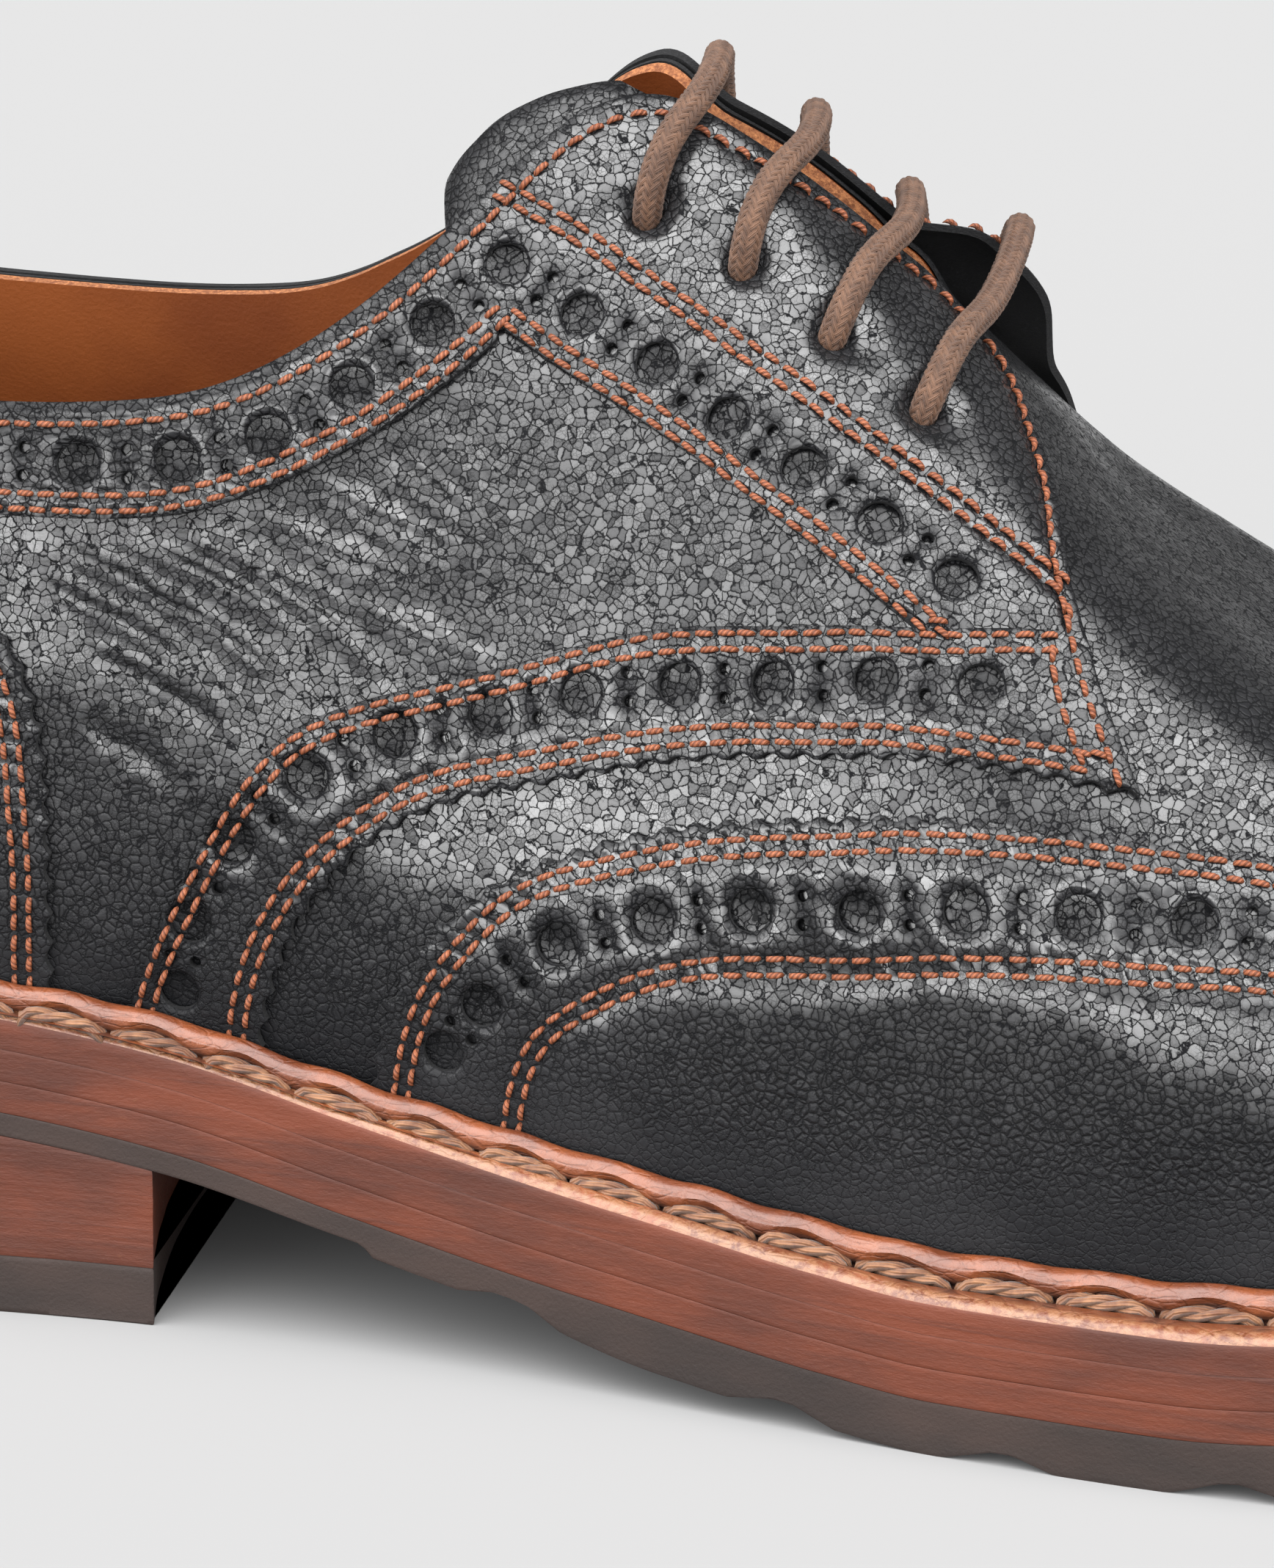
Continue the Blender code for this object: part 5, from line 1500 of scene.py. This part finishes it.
def make_threads(root_wall, finish):
    """Thick twisted stitches in the welt's groove."""
    out3 = np.column_stack([OUT, np.zeros(AROUND)])
    track = root_wall + out3 * (LIP_THICK + 0.05 * MM)
    track[:, 2] = welt_edge(track[:, 0]) + WELT_STEP + 0.10 * MM
    walk = TURN / (2 * math.pi)
    walk = np.concatenate([walk, walk[:1] + THREADS])
    track = np.vstack([track, track[:1]])
    outs = np.vstack([out3, out3[:1]])
    rings, around = 15, 8
    turn = round_angles(around)
    points, faces, uv = [], [], []
    ply_radius, twist = 0.40 * MM, 1.15
    for k in range(THREADS):
        share = np.linspace(-0.47, 0.47, rings)
        place = (k + share - walk[0]) % THREADS + walk[0]
        centre = np.stack([np.interp(place, walk, track[:, i]) for i in range(3)], 1)
        away = np.stack([np.interp(place, walk, outs[:, i]) for i in range(3)], 1)
        dive = 1 - np.clip((np.abs(share) - 0.30) / 0.17, 0, 1) ** 2
        centre[:, 2] += (dive - 1) * 1.4 * MM + 0.20 * MM * dive
        centre += away * (0.15 * MM * math.sin(k * 2.3))
        ahead = unit(np.gradient(centre, axis=0))
        side = unit(np.cross(ahead, [0, 0, 1.0]))
        up = np.cross(side, ahead)
        for ply in range(3):
            angle = 2 * math.pi * (ply / 3 + twist * share + 0.13 * k)
            middle = centre + circle(angle, side, up) * ply_radius
            faces += tube_faces(len(points) * around, rings, around)
            for j in range(rings):
                width = 0.50 * MM * (0.35 if j in (0, rings - 1) else 1)
                points.append(middle[j] + circle(turn, side[j], up[j]) * width)
                uv.append(np.stack([np.full(around, share[j] + 0.5), turn / (2 * math.pi)], 1))
    points = np.vstack(points) - ORIGIN
    faces = outward(points, faces, around * (rings - 1) + 2)
    add_piece("welt_thread", points, faces, [finish], 80, uv=np.vstack(uv))


# Heel

HEEL_LIFTS = 4
HEEL_STEPS = 40            # rows up the side of the stack
HEEL_INSET = 0.9 * MM      # of its hidden top and bottom
HEEL_SOFT = 0.12 * MM      # rounding of the top piece


HEEL_AROUND = 900


def heel_outline():
    """Heel seen from above, with its hollow breast, and its outward directions."""
    edge, _ = sole_plan()
    breast = BREAST_AT * LENGTH
    kept = edge[edge[:, 0] < breast - GAP]
    outer = kept[kept[:, 1] < 0]
    inner = kept[kept[:, 1] >= 0]
    outer = outer[np.argsort(outer[:, 0])]
    inner = inner[np.argsort(-inner[:, 0])]
    y0, y1 = outer[-1, 1], inner[0, 1]
    across = np.linspace(-1, 1, 61)
    hollow = breast - BREAST_HOLLOW * (1 - across ** 2)
    curve = np.column_stack([hollow, (y0 + y1) / 2 + across * (y1 - y0) / 2])
    loop = np.vstack([outer, curve, inner])
    closed = np.vstack([loop, loop[:1]])
    length = walked(closed)
    place = np.linspace(0, length[-1], HEEL_AROUND, endpoint=False)
    loop = np.stack([np.interp(place, length, closed[:, i]) for i in range(2)], 1)
    ahead = unit(np.roll(loop, -2, 0) - np.roll(loop, 2, 0))
    return loop, np.stack([ahead[:, 1], -ahead[:, 0]], 1)


def heel_block(name, rows, finishes):
    """Closed block round the heel from rows of (inset, height); the last row closes over the top."""
    loop, out = heel_outline()
    count = len(loop)
    layers = [np.column_stack([loop - out * np.broadcast_to(inset, (count,))[:, None],
                               np.broadcast_to(height, (count,))]) for inset, height in rows]
    points = np.vstack(layers)
    faces = []
    for k in range(len(layers) - 1):
        a, b = k * count, (k + 1) * count
        faces += [(a + i, a + (i + 1) % count, b + (i + 1) % count, b + i) for i in range(count)]
    mesh = bmesh.new()
    verts = [mesh.verts.new(p) for p in points - ORIGIN]
    for face in faces:
        mesh.faces.new([verts[i] for i in face])
    for first, turn in ((0, -1), ((len(layers) - 1) * count, 1)):
        cap = mesh.faces.new([verts[first + i] for i in range(count)][::turn])
        bmesh.ops.triangulate(mesh, faces=[cap], quad_method="BEAUTY", ngon_method="BEAUTY")
    bmesh.ops.recalc_face_normals(mesh, faces=mesh.faces[:])
    mesh.verts.ensure_lookup_table()
    mesh.verts.index_update()
    result = [tuple(v.index for v in f.verts) for f in mesh.faces]
    mesh.free()
    return add_piece(name, points - ORIGIN, result, finishes, 40)


def make_heel(leather, rubber):
    """Rubber top piece, and over it the stack with a fine line between its lifts."""
    loop, _ = heel_outline()
    spots = np.column_stack([loop, np.zeros(len(loop))])
    rows = [(HEEL_SOFT + 0.4 * MM, 0.0)]
    top = TOP_PIECE - 0.04 * MM
    for share in (0.0, 0.03, 0.10, 0.3, 0.5, 0.7, 0.90, 0.97, 1.0):
        corner = np.clip(min(share, 1 - share) * top / HEEL_SOFT, 0, 1)
        round_in = HEEL_SOFT * (1 - math.sqrt(max(0.0, 1 - (1 - corner) ** 2)))
        rows.append((round_in + smooth_noise(spots + share, 5 * MM) * 0.05 * MM, share * top))
    rows.append((HEEL_SOFT + 0.4 * MM, top))
    heel_block("heel_top_looks", rows, [rubber])
    seat = outsole_bottom(loop[:, 0]) - 0.05 * MM
    tall = seat - TOP_PIECE
    rows = [(HEEL_INSET, np.full(len(loop), TOP_PIECE))]
    for k in range(HEEL_STEPS + 1):
        share = k / HEEL_STEPS
        lift = abs((share * HEEL_LIFTS + 0.5) % 1 - 0.5) / HEEL_LIFTS
        line = 0.02 * MM * np.exp(-(lift * tall / (0.22 * MM)) ** 2)
        end = 0.04 * MM if k in (0, HEEL_STEPS) else 0.0
        wave = smooth_noise(spots + [0, 0, share * 18 * MM], 4 * MM, 3) * 0.05 * MM
        rows.append((line + end + wave, TOP_PIECE + share * tall))
    rows.append((HEEL_INSET, seat))
    heel_block("heel_stack_looks", rows, [leather])


# Laces

YARNS = 24
YARN_AROUND = 6            # points round a yarn
CORE_AROUND = 12           # and round the core under them
YARN_TWIST = 9.0 * MM      # length of the lace in which a yarn goes once round it
YARN_MIDDLE = 1.28 * MM    # how far the yarns lie from the lace's middle
YARN_SWING = 0.10 * MM     # how far they weave in and out from there
YARN_WIDE = 0.27 * MM      # half width and half thickness of a yarn
YARN_THICK = 0.15 * MM
CORE_RADIUS = 1.20 * MM


def lace_route(number, eyelet):
    """Middle line of a bar: out of the outer eyelet, over both facings and into the inner eyelet."""
    s, v = eyelet
    lead, leaves = EYELET_LEADS[number - 1], LACE_LEAVES[number - 1]
    clear = GAP + OVERLAY + 2 * GAP + LACE / 2
    way = np.array([0.0, 0.0, 0.1, 0.5, 1.0])
    shares = v + (leaves - v) * way
    route = []
    for side in (0, 1):
        place = s + lead * (LACE_LEAN * way if side == 0 else 1 - (1 - LACE_LEAN) * way)
        lifts = facing_lift(place, shares, side) + np.array([-4.2 * MM, -1.0 * MM, 1.25 * MM, clear, clear])
        route.append(offset_point(side, place, shares, lifts))
    return curve_through(np.vstack([route[0], route[1][::-1]]), 0.42 * MM) - ORIGIN


def make_lace(number, eyelet, finish):
    """One bar of round braid: twenty-four yarns, two over and two under, round a core."""
    spots = lace_route(number, eyelet)
    ahead = unit(np.gradient(spots, axis=0))
    side = unit(np.cross(ahead, [1.0, 0, 0]))
    up = np.cross(side, ahead)
    walk = walked(spots)
    phase = 2 * math.pi * walk / YARN_TWIST
    turn = round_angles(YARN_AROUND)
    points, faces, uv, marks = [], [], [], []
    count = len(spots)
    for way in (1, -1):
        for k in range(YARNS // 2):
            angle = 4 * math.pi * k / YARNS + way * phase
            weave = np.sin(YARNS / 4 * phase + way * (math.pi * k + math.pi / 4))
            radius = YARN_MIDDLE + YARN_SWING * weave
            outer = circle(angle, side, up)
            centre = spots + outer * radius[:, None]
            across = np.cross(outer, unit(np.gradient(centre, axis=0)))
            faces += tube_faces(len(points) * YARN_AROUND, count, YARN_AROUND)
            for j in range(count):
                wide = np.cos(turn)[:, None] * across[j] * YARN_WIDE
                points.append(centre[j] + (wide + np.sin(turn)[:, None] * outer[j] * YARN_THICK))
                uv.append(np.stack([np.full(YARN_AROUND, walk[j] / YARN_TWIST), turn / (2 * math.pi)], 1))
                # The outward mark is high where a yarn weaves out and on its outer face; the lace paints
                # shade where it is low.
                out = (radius[j] - YARN_MIDDLE) / YARN_SWING
                marks.append(np.full(YARN_AROUND, out * 0.35 + 0.55) + np.sin(turn) * 0.3)
    faces += tube_faces(len(points) * YARN_AROUND, count, CORE_AROUND)
    core_turn = round_angles(CORE_AROUND)
    core = [spots[j] + circle(core_turn, side[j], up[j]) * CORE_RADIUS for j in range(count)]
    points = np.vstack(points + core)
    uv = np.vstack(uv + [np.zeros((CORE_AROUND * count, 2))])
    # The core's mark is 0, so it is painted dark as the shade between the yarns.
    marks = np.concatenate(marks + [np.zeros(CORE_AROUND * count)])
    each = YARN_AROUND * (count - 1) + 2
    yarn_faces = outward(points, faces[:YARNS * each], each)
    core_faces = outward(points, faces[YARNS * each:], len(faces) - YARNS * each)
    add_piece(f"lace_{number}", points, yarn_faces + core_faces, [finish], 80, uv=uv,
              marks={"outward": np.clip(marks, 0, 1)})


# Tongue and sock

TONGUE_ROUND = 1.6 * MM    # width of the rounding along its edges


def make_tongue(finish):
    """Padded tongue: rows across the crest under the upper, then the free top curling back."""
    table = even_slope(TONGUE_SIDES)
    rows = np.linspace(TONGUE_SIDES[-1][0], TONGUE_SIDES[0][0], 46)
    across = np.sin(np.linspace(-math.pi / 2, math.pi / 2, 45))
    shell = -UPPER_WALL - GAP
    half_thick = TONGUE / 2
    tops = np.array([(0, 0, 1), *TONGUE_TOP], float)
    fine = np.linspace(0, len(tops) - 1, 8 * (len(tops) - 1) + 1)
    tops = spline(np.arange(len(tops)), tops)(fine)[1:]
    middle_grid, normal_grid = [], []
    for s in rows:
        half = float(table(s)[0])
        line, normals = [], []
        for a in across:
            side = 0 if a < 0 else 1
            v = 1 - half * abs(a)
            line.append(offset_point(side, s, v, shell - half_thick))
            normals.append(last_normal(side, s, v))
        middle_grid.append(np.array(line))
        normal_grid.append(np.array(normals))
    base, base_normal = middle_grid[-1], normal_grid[-1]
    middle = base[len(across) // 2]
    for back, rise, narrow in tops:
        line = middle + (base - middle) * np.array([1, narrow, narrow])
        middle_grid.append(line + np.array([-back, 0, rise]))
        normal_grid.append(base_normal)
    grid, normals = np.array(middle_grid), np.array(normal_grid)
    along = np.gradient(grid, axis=0)
    over = np.gradient(grid, axis=1)
    facing = np.cross(along, over)
    facing *= np.sign((facing * normals).sum(-1, keepdims=True))
    facing /= np.maximum(np.linalg.norm(facing, axis=-1, keepdims=True), 1e-9)
    n, m = grid.shape[:2]
    length = walked(grid[:, m // 2])
    to_top = (length[-1] - length) / TONGUE_ROUND
    width = np.linalg.norm(grid[:, -1] - grid[:, 0], axis=1)[:, None] / 2
    to_side = (1 - np.abs(across)) * width / TONGUE_ROUND
    room = np.clip(np.minimum(to_side, to_top[:, None]), 0, 1)
    thick = half_thick * np.sqrt(np.clip(1 - (1 - room) ** 2, 0.0, 1))
    spots = grid.reshape(-1, 3)
    lump = 0.22 * MM * smooth_noise(spots, 8 * MM) + 0.12 * MM * smooth_noise(spots, 3.5 * MM, 2)
    top = grid + facing * (thick + lump.reshape(n, m) * room)[..., None]
    low = grid - facing * thick[..., None]
    points = np.vstack([top.reshape(-1, 3), low.reshape(-1, 3)]) - ORIGIN
    faces = []
    for i in range(n - 1):
        for j in range(m - 1):
            a, b, c, d = i * m + j, i * m + j + 1, (i + 1) * m + j + 1, (i + 1) * m + j
            faces += [(a, b, c, d), tuple(n * m + k for k in (d, c, b, a))]
    rim = list(range(m)) + [i * m + m - 1 for i in range(1, n)]
    rim += [(n - 1) * m + j for j in range(m - 2, -1, -1)] + [i * m for i in range(n - 2, 0, -1)]
    faces += [(b, a, n * m + a, n * m + b) for a, b in zip(rim, rim[1:] + rim[:1])]
    zeros, ones = np.zeros(len(points)), np.ones(len(points))
    add_piece("tongue_looks", points, faces, [finish], 60,
              marks={"calm": zeros, "coarse": zeros, "folded": zeros, "gloss": ones * 0.5})


def make_insole(finish):
    """Sock over the insole board, inside the foot of the upper."""
    room = UPPER_WALL + GAP
    lines = []
    for inset, level in ((room + 1.0 * MM, GAP), (room, GAP), (room, GAP + INSOLE - 0.5 * MM),
                         (room + 0.15 * MM, GAP + INSOLE - 0.14 * MM), (room + 0.5 * MM, GAP + INSOLE),
                         (room + 4 * MM, GAP + INSOLE)):
        flat = FEATHER - OUT * inset
        lines.append(np.column_stack([flat, welt_bottom(flat[:, 0]) + level]))
    swept("sock_looks", lines, [finish])


# Build the shoe

black = paint_black_leather()
raw_black = paint_raw_black()
tan = paint_lining()
raw_tan = paint_raw_tan()
welt_paint = paint_welt()
welt_thread = paint_welt_thread()
sole_edge = paint_sole_edge("sole_leather", 4.0)
stack_paint = paint_sole_edge("stack_leather", 9.0)
rubber = paint_rubber()
thread = paint_thread()
lace = paint_lace()

ROWS = [seam_rows(0), seam_rows(1)]
HOLES = [hole_places(0), hole_places(1)]
EYES = {0: EYELETS, 1: [(s + lead, v) for (s, v), lead in zip(EYELETS, EYELET_LEADS)]}
SIDES = ((0, "lateral"), (1, "medial"))
LIFTED = ("facing", "strap")   # pieces that stand off the last beside the throat
EYELET_HOLE = 1.45 * MM
EYELET_SINK = 1.35 * MM    # how far the lace pulls the leather in, and how far round the eyelet
EYELET_SPREAD = 2.9 * MM
WALL_CELL = 1.9 * MM
LINING_CELL = 3.2 * MM
CUT_STEP = 1.3 * MM        # along straight outlines, which are seams that don't show
EDGE_STEP = 0.9 * MM       # and along curved cut edges
PINK_STEP = PINK_PITCH / 8


def eyelet_rings(side, radius=EYELET_HOLE, count=20):
    rings = []
    for s, v in EYES[side]:
        along, up = slopes(side, np.array(s), np.array(v))
        ahead = unit(along)
        left = unit(up - ahead * (up @ ahead))
        rings.append(ring(side, (s, v, radius, ahead, left), radius, count))
    return rings


def dimple(side, s, v):
    """How far the leather sinks round the eyelets."""
    spots = last_point(side, s, v)
    ways = [np.linalg.norm(spots - last_point(side, *eye), axis=-1) for eye in EYES[side]]
    return sum(-EYELET_SINK * np.exp(-(way / EYELET_SPREAD) ** 2) for way in ways)


def hole_rings(side, piece):
    """Outlines of the punched holes of one piece."""
    return [ring(side, hole, hole[2], 22 if hole[2] == BIG_HOLE else 10) for hole in HOLES[side][piece]]


HEEL_FOOT, HEEL_TOP, TOE_FOOT, TOE_CREST = (0.0, 0.0), TOPLINE[0], (1.0, 0.0), (1.0, 1.0)


def make_upper():
    """The wall of black leather and the tan lining under it, each one piece round the heel and toe."""
    lines = [(HEEL_FOOT, TOE_FOOT), (TOE_FOOT, TOE_CREST), (TOE_CREST, THROAT_END[-1])]
    outline = joined_loop(
        *[straight(start, end, WALL_CELL) for start, end in lines], chain(THROAT_END, EDGE_STEP)[::-1],
        chain(TOPLINE, EDGE_STEP)[::-1], straight(HEEL_TOP, HEEL_FOOT, WALL_CELL))

    def relief(side, s, v):
        spots = last_point(side, s, v)
        away = near(hole_middles(side), spots)
        return crease_height(side, spots) - 0.45 * MM * np.exp(-(away / (2.6 * MM)) ** 4)

    def wall(away):
        return lambda side, s, v: wall_lift(s, v, side) + dimple(side, s, v) - away

    flat, faces = flat_mesh(outline, eyelet_rings(0), inner_edge(outline) + crease_points(0), WALL_CELL)
    panel("upper_looks", (0, 1), flat, faces, wall(0.55 * MM), wall(0.0), relief,
          [black, raw_black], wall_marks)
    flat, faces = flat_mesh(outline, eyelet_rings(0), inner_edge(outline), LINING_CELL)
    panel("lining_looks", (0, 1), flat, faces, wall(UPPER_WALL), wall(0.6 * MM),
          lambda side, s, v: np.zeros(len(s)), [tan, raw_tan], back=0)


def make_facing_and_strap(side, label):
    """Facing with its collar band, tucked under the strap, and the strap over it."""
    front = chain(QUARTER_FRONT, EDGE_STEP)
    low_line = Line(side, BAND_LOW).beside(-ROW_EDGE).flat(4)
    low_line[0, 0] = 0.0
    vee = Line(side, FACING_V).beside(-VEE_EDGE).flat(4)
    strap_edge = Line(side, STRAP_TOP_SEAM).beside(ROW_EDGE)
    tuck = strap_edge.beside(-1.1 * MM)
    tuck = tuck.flat(4)[tuck.s[::4] > vee[-1, 0] / PATTERN_SCALE[0] + 0.004]
    low_line = low_line[low_line[:, 0] < vee[0, 0]]
    corner = np.array([[front[-1, 0], tuck[-1, 1]]])
    outline = joined_loop(
        chain(TOPLINE, EDGE_STEP), front, corner, tuck[::-1], vee[::-1], low_line[::-1],
        straight((0.0, low_line[0, 1] / PATTERN_SCALE[1]), HEEL_TOP, CUT_STEP))
    circles = hole_rings(side, "facing") + eyelet_rings(side)
    cut_piece(f"facing_looks_{label}", "facing", [side], outline, circles, strap_edge.spots[::2])
    low = pinked(Line(side, STRAP_LOW, PINK_STEP), -1)
    low[:, 1] = np.maximum(low[:, 1], 0)
    low[0, 1] = 0.0
    top_edge = strap_edge.flat(4)
    top_edge[0, 1] = 0.0
    strap_front = chain(STRAP_FRONT, EDGE_STEP)
    strap_front = strap_front[strap_front[:, 1] < top_edge[-1, 1]]
    outline = joined_loop(top_edge, strap_front, low[::-1])
    cut_piece(f"strap_looks_{label}", "strap", [side], outline, hole_rings(side, "strap"))


def make_wing_cap():
    wing = np.clip(pinked(Line(0, WING_TOP, PINK_STEP), 1), 0, PATTERN_SCALE)
    wing[0, 1], wing[-1, 1] = 0.0, PATTERN_SCALE[1]
    outline = joined_loop(
        wing, straight((wing[-1, 0] / PATTERN_SCALE[0], 1.0), TOE_CREST, CUT_STEP),
        straight(TOE_CREST, TOE_FOOT, CUT_STEP),
        straight(TOE_FOOT, (wing[0, 0] / PATTERN_SCALE[0], 0.0), CUT_STEP))
    cut_piece("wing_looks", "wing_cap", (0, 1), outline, hole_rings(0, "wing_cap"))


def make_counter():
    counter = np.clip(pinked(Line(0, COUNTER_TOP, PINK_STEP), 1), 0, PATTERN_SCALE)
    counter[0, 0], counter[-1, 1] = 0.0, 0.0
    outline = joined_loop(
        counter, straight((counter[-1, 0] / PATTERN_SCALE[0], 0.0), HEEL_FOOT, CUT_STEP),
        straight(HEEL_FOOT, (0.0, counter[0, 1] / PATTERN_SCALE[1]), CUT_STEP))
    cut_piece("counter_looks", "heel_counter", (0, 1), outline, [])


def cut_piece(name, piece, sides, outline, circles, tucked=None):
    """A piece cut to an outline and laid over the wall; tucked is the line where it dives under another."""
    first = sides[0]
    holes = HOLES[first].get(piece, [])
    extra = rim_points(first, holes) + row_points(ROWS[first][piece]) + inner_edge(outline)
    flat, faces = flat_mesh(outline, circles, extra, CELL)
    eyes = EYES if piece == "facing" else {0: [], 1: []}
    reliefs = {k: leather_relief(k, ROWS[k][piece], HOLES[k].get(piece, []), eyes[k]) for k in sides}

    def rise(away):
        def height(side, s, v):
            return away + (facing_lift(s, v, side) + dimple(side, s, v) if piece in LIFTED else 0 * s)
        return height

    def relief(side, s, v):
        lift = reliefs[side](s, v)
        if tucked is not None:
            away = near(tucked, last_point(side, s, v))
            lift = np.maximum(lift - 0.85 * MM * np.exp(-(away / (1.5 * MM)) ** 2), -0.88 * MM)
        return lift

    return panel(name, sides, flat, faces, rise(GAP), rise(GAP + OVERLAY), relief, [black, raw_black],
                 leather_marks)


def make_stitches(side, label):
    """Thread of every seam, and the bar tacks over them."""
    def rise(lifted, clear):
        return lambda s, v: (facing_lift(s, v, side) if lifted else 0.0) + GAP + OVERLAY + clear

    for piece, rows in ROWS[side].items():
        sewn(f"stitches_{piece}_{label}", rows, rise(piece in LIFTED, 0.02 * MM), thread)
    tacks = [Line(side, [(s - a, v - b), (s, v), (s + a, v + b)]) for s, v, a, b in TACKS]
    sewn(f"tacks_{label}", tacks, rise(True, 0.16 * MM), thread)


make_upper()
for side, label in SIDES:
    make_facing_and_strap(side, label)
make_wing_cap()
make_counter()
for side, label in SIDES:
    make_stitches(side, label)
make_tongue(black)
make_insole(tan)
make_threads(make_welt(welt_paint, sole_edge), welt_thread)
for level, name in ((0, "midsole_low_looks"), (1, "midsole_high_looks")):
    base = level * MIDSOLE
    make_layer(name, lambda x: outsole_top(x) + base, lambda x: outsole_top(x) + base + MIDSOLE - LAYER_JOINT,
               [sole_edge], level * NOISE_LAYER)
make_layer("outsole_looks", outsole_bottom, lambda x: outsole_top(x) - LAYER_JOINT, [rubber],
           -NOISE_LAYER, dip=notch_depth)
make_heel(stack_paint, rubber)
for number, eyelet in enumerate(EYELETS, 1):
    make_lace(number, eyelet, lace)

REPLACED = {
    "upper_looks": ["upper"], "wing_looks": ["wing_cap"], "counter_looks": ["heel_counter"],
    "facing_looks_lateral": ["facing_lateral"], "facing_looks_medial": ["facing_medial"],
    "strap_looks_lateral": ["strap_lateral"], "strap_looks_medial": ["strap_medial"],
    "tongue_looks": ["tongue"], "sock_looks": ["insole"], "welt_looks": ["welt"],
    "midsole_low_looks": ["midsole_lower"], "midsole_high_looks": ["midsole_upper"],
    "outsole_looks": ["outsole"], "heel_stack_looks": ["heel_stack"], "heel_top_looks": ["heel_top_piece"],
    "lace_1": ["lace_bar_1"], "lace_2": ["lace_bar_2"], "lace_3": ["lace_bar_3"], "lace_4": ["lace_bar_4"],
}
for name, nodes in REPLACED.items():
    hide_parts(*nodes)


# Studio: directions are shares of one along x to the toe, y to the inner side and z up

LIT_SIDE = (0.34, -0.12)        # along y: dark behind the shoe, fully lit overhead and on its outer side
LIT_HEIGHT = (-0.05, 0.12)      # along z
BRIGHT = 6.7
DIM = 0.30
HIGH_UP = (0.50, 0.88)          # more light from high up
ABOVE = 0.50
LOW_DOWN = (0.34, 0.20)         # and from low down
BELOW = 0.95
SCREEN_LOW = (0.28, 0.36)       # a dark screen between them, not in front of the heel
SCREEN_HIGH = (0.58, 0.47)
SCREEN_END = (-0.38, -0.10)
SCREEN_DARK = 0.72
FLOOR = 0.1561                  # grey that this light shows as the photo's background


def make_world():
    """Soft studio light: one broad soft source over the shoe's outer side, and dim walls behind."""
    world = bpy.data.worlds.new("studio")
    bpy.context.scene.world = world
    world.use_nodes = True
    tree = world.node_tree
    tree.nodes.clear()
    spot = tree.nodes.new("ShaderNodeTexCoord")
    parts = tree.nodes.new("ShaderNodeSeparateXYZ")
    tree.links.new(spot.outputs["Generated"], parts.inputs[0])
    along, across, height = parts.outputs

    def maths(operation, *values):
        made = tree.nodes.new("ShaderNodeMath")
        made.operation = operation
        for socket, value in zip(made.inputs, values):
            if isinstance(value, float):
                socket.default_value = value
            else:
                tree.links.new(value, socket)
        return made.outputs[0]

    def fade(value, reach):
        made = tree.nodes.new("ShaderNodeMapRange")
        made.interpolation_type = "SMOOTHSTEP"
        tree.links.new(value, made.inputs[0])
        for index, number in enumerate((*reach, 0.0, 1.0), 1):
            made.inputs[index].default_value = number
        return made.outputs[0]

    def more(light, reach, share):
        return maths("MULTIPLY", light, maths("ADD", maths("MULTIPLY", fade(height, reach), share), 1.0))

    screen = maths("MULTIPLY", fade(height, SCREEN_LOW), fade(height, SCREEN_HIGH))
    screen = maths("MULTIPLY", screen, fade(along, SCREEN_END))
    light = maths("MULTIPLY", fade(across, LIT_SIDE), fade(height, LIT_HEIGHT))
    light = maths("MULTIPLY", light, maths("SUBTRACT", 1.0, maths("MULTIPLY", screen, SCREEN_DARK)))
    light = more(more(light, HIGH_UP, ABOVE), LOW_DOWN, BELOW)
    back = tree.nodes.new("ShaderNodeBackground")
    tree.links.new(maths("ADD", maths("MULTIPLY", light, BRIGHT), DIM), back.inputs["Strength"])
    back.inputs["Color"].default_value = (1.0, 1.0, 1.0, 1)
    out = tree.nodes.new("ShaderNodeOutputWorld")
    tree.links.new(back.outputs[0], out.inputs[0])


def make_floor():
    bpy.ops.mesh.primitive_plane_add(size=8, location=(0, 0, 0))
    floor = bpy.context.object
    floor.name = "floor"
    bpy.ops.object.transform_apply(location=True, rotation=True, scale=True)
    p = Paint("floor", Roughness=1.0, Specular_IOR_Level=0.0)
    p.set("Base Color", (FLOOR, FLOOR, FLOOR))
    floor.data.materials.append(p.material)


# The photo's view: angles in degrees, the point it looks at, its distance, and the lens in mm
YAW, PITCH, ROLL = 9.0, 16.0, 1.0
TARGET = Vector((-24.3, -21.7, 54.9)) * MM
DISTANCE = 480 * MM
LENS = 114.4
FILM = 36


def make_camera():
    yaw, pitch, roll = [math.radians(angle) for angle in (YAW, PITCH, ROLL)]
    view = Vector((-math.sin(yaw) * math.cos(pitch), math.cos(yaw) * math.cos(pitch), -math.sin(pitch)))
    right = Vector((math.cos(yaw), math.sin(yaw), 0))
    up = right.cross(view)
    turned_right = math.cos(roll) * right + math.sin(roll) * up
    turned_up = math.cos(roll) * up - math.sin(roll) * right
    place = TARGET - view * DISTANCE
    data = bpy.data.cameras.new("camera")
    data.sensor_width = FILM
    data.lens = LENS
    data.clip_start = 0.01
    data.clip_end = 50
    camera = bpy.data.objects.new("camera", data)
    rows = [(turned_right[i], turned_up[i], -view[i], place[i]) for i in range(3)]
    camera.matrix_world = Matrix((*rows, (0, 0, 0, 1)))
    bpy.context.scene.collection.objects.link(camera)
    bpy.context.scene.camera = camera


make_world()
make_floor()
make_camera()
bpy.context.scene.view_settings.view_transform = "Standard"
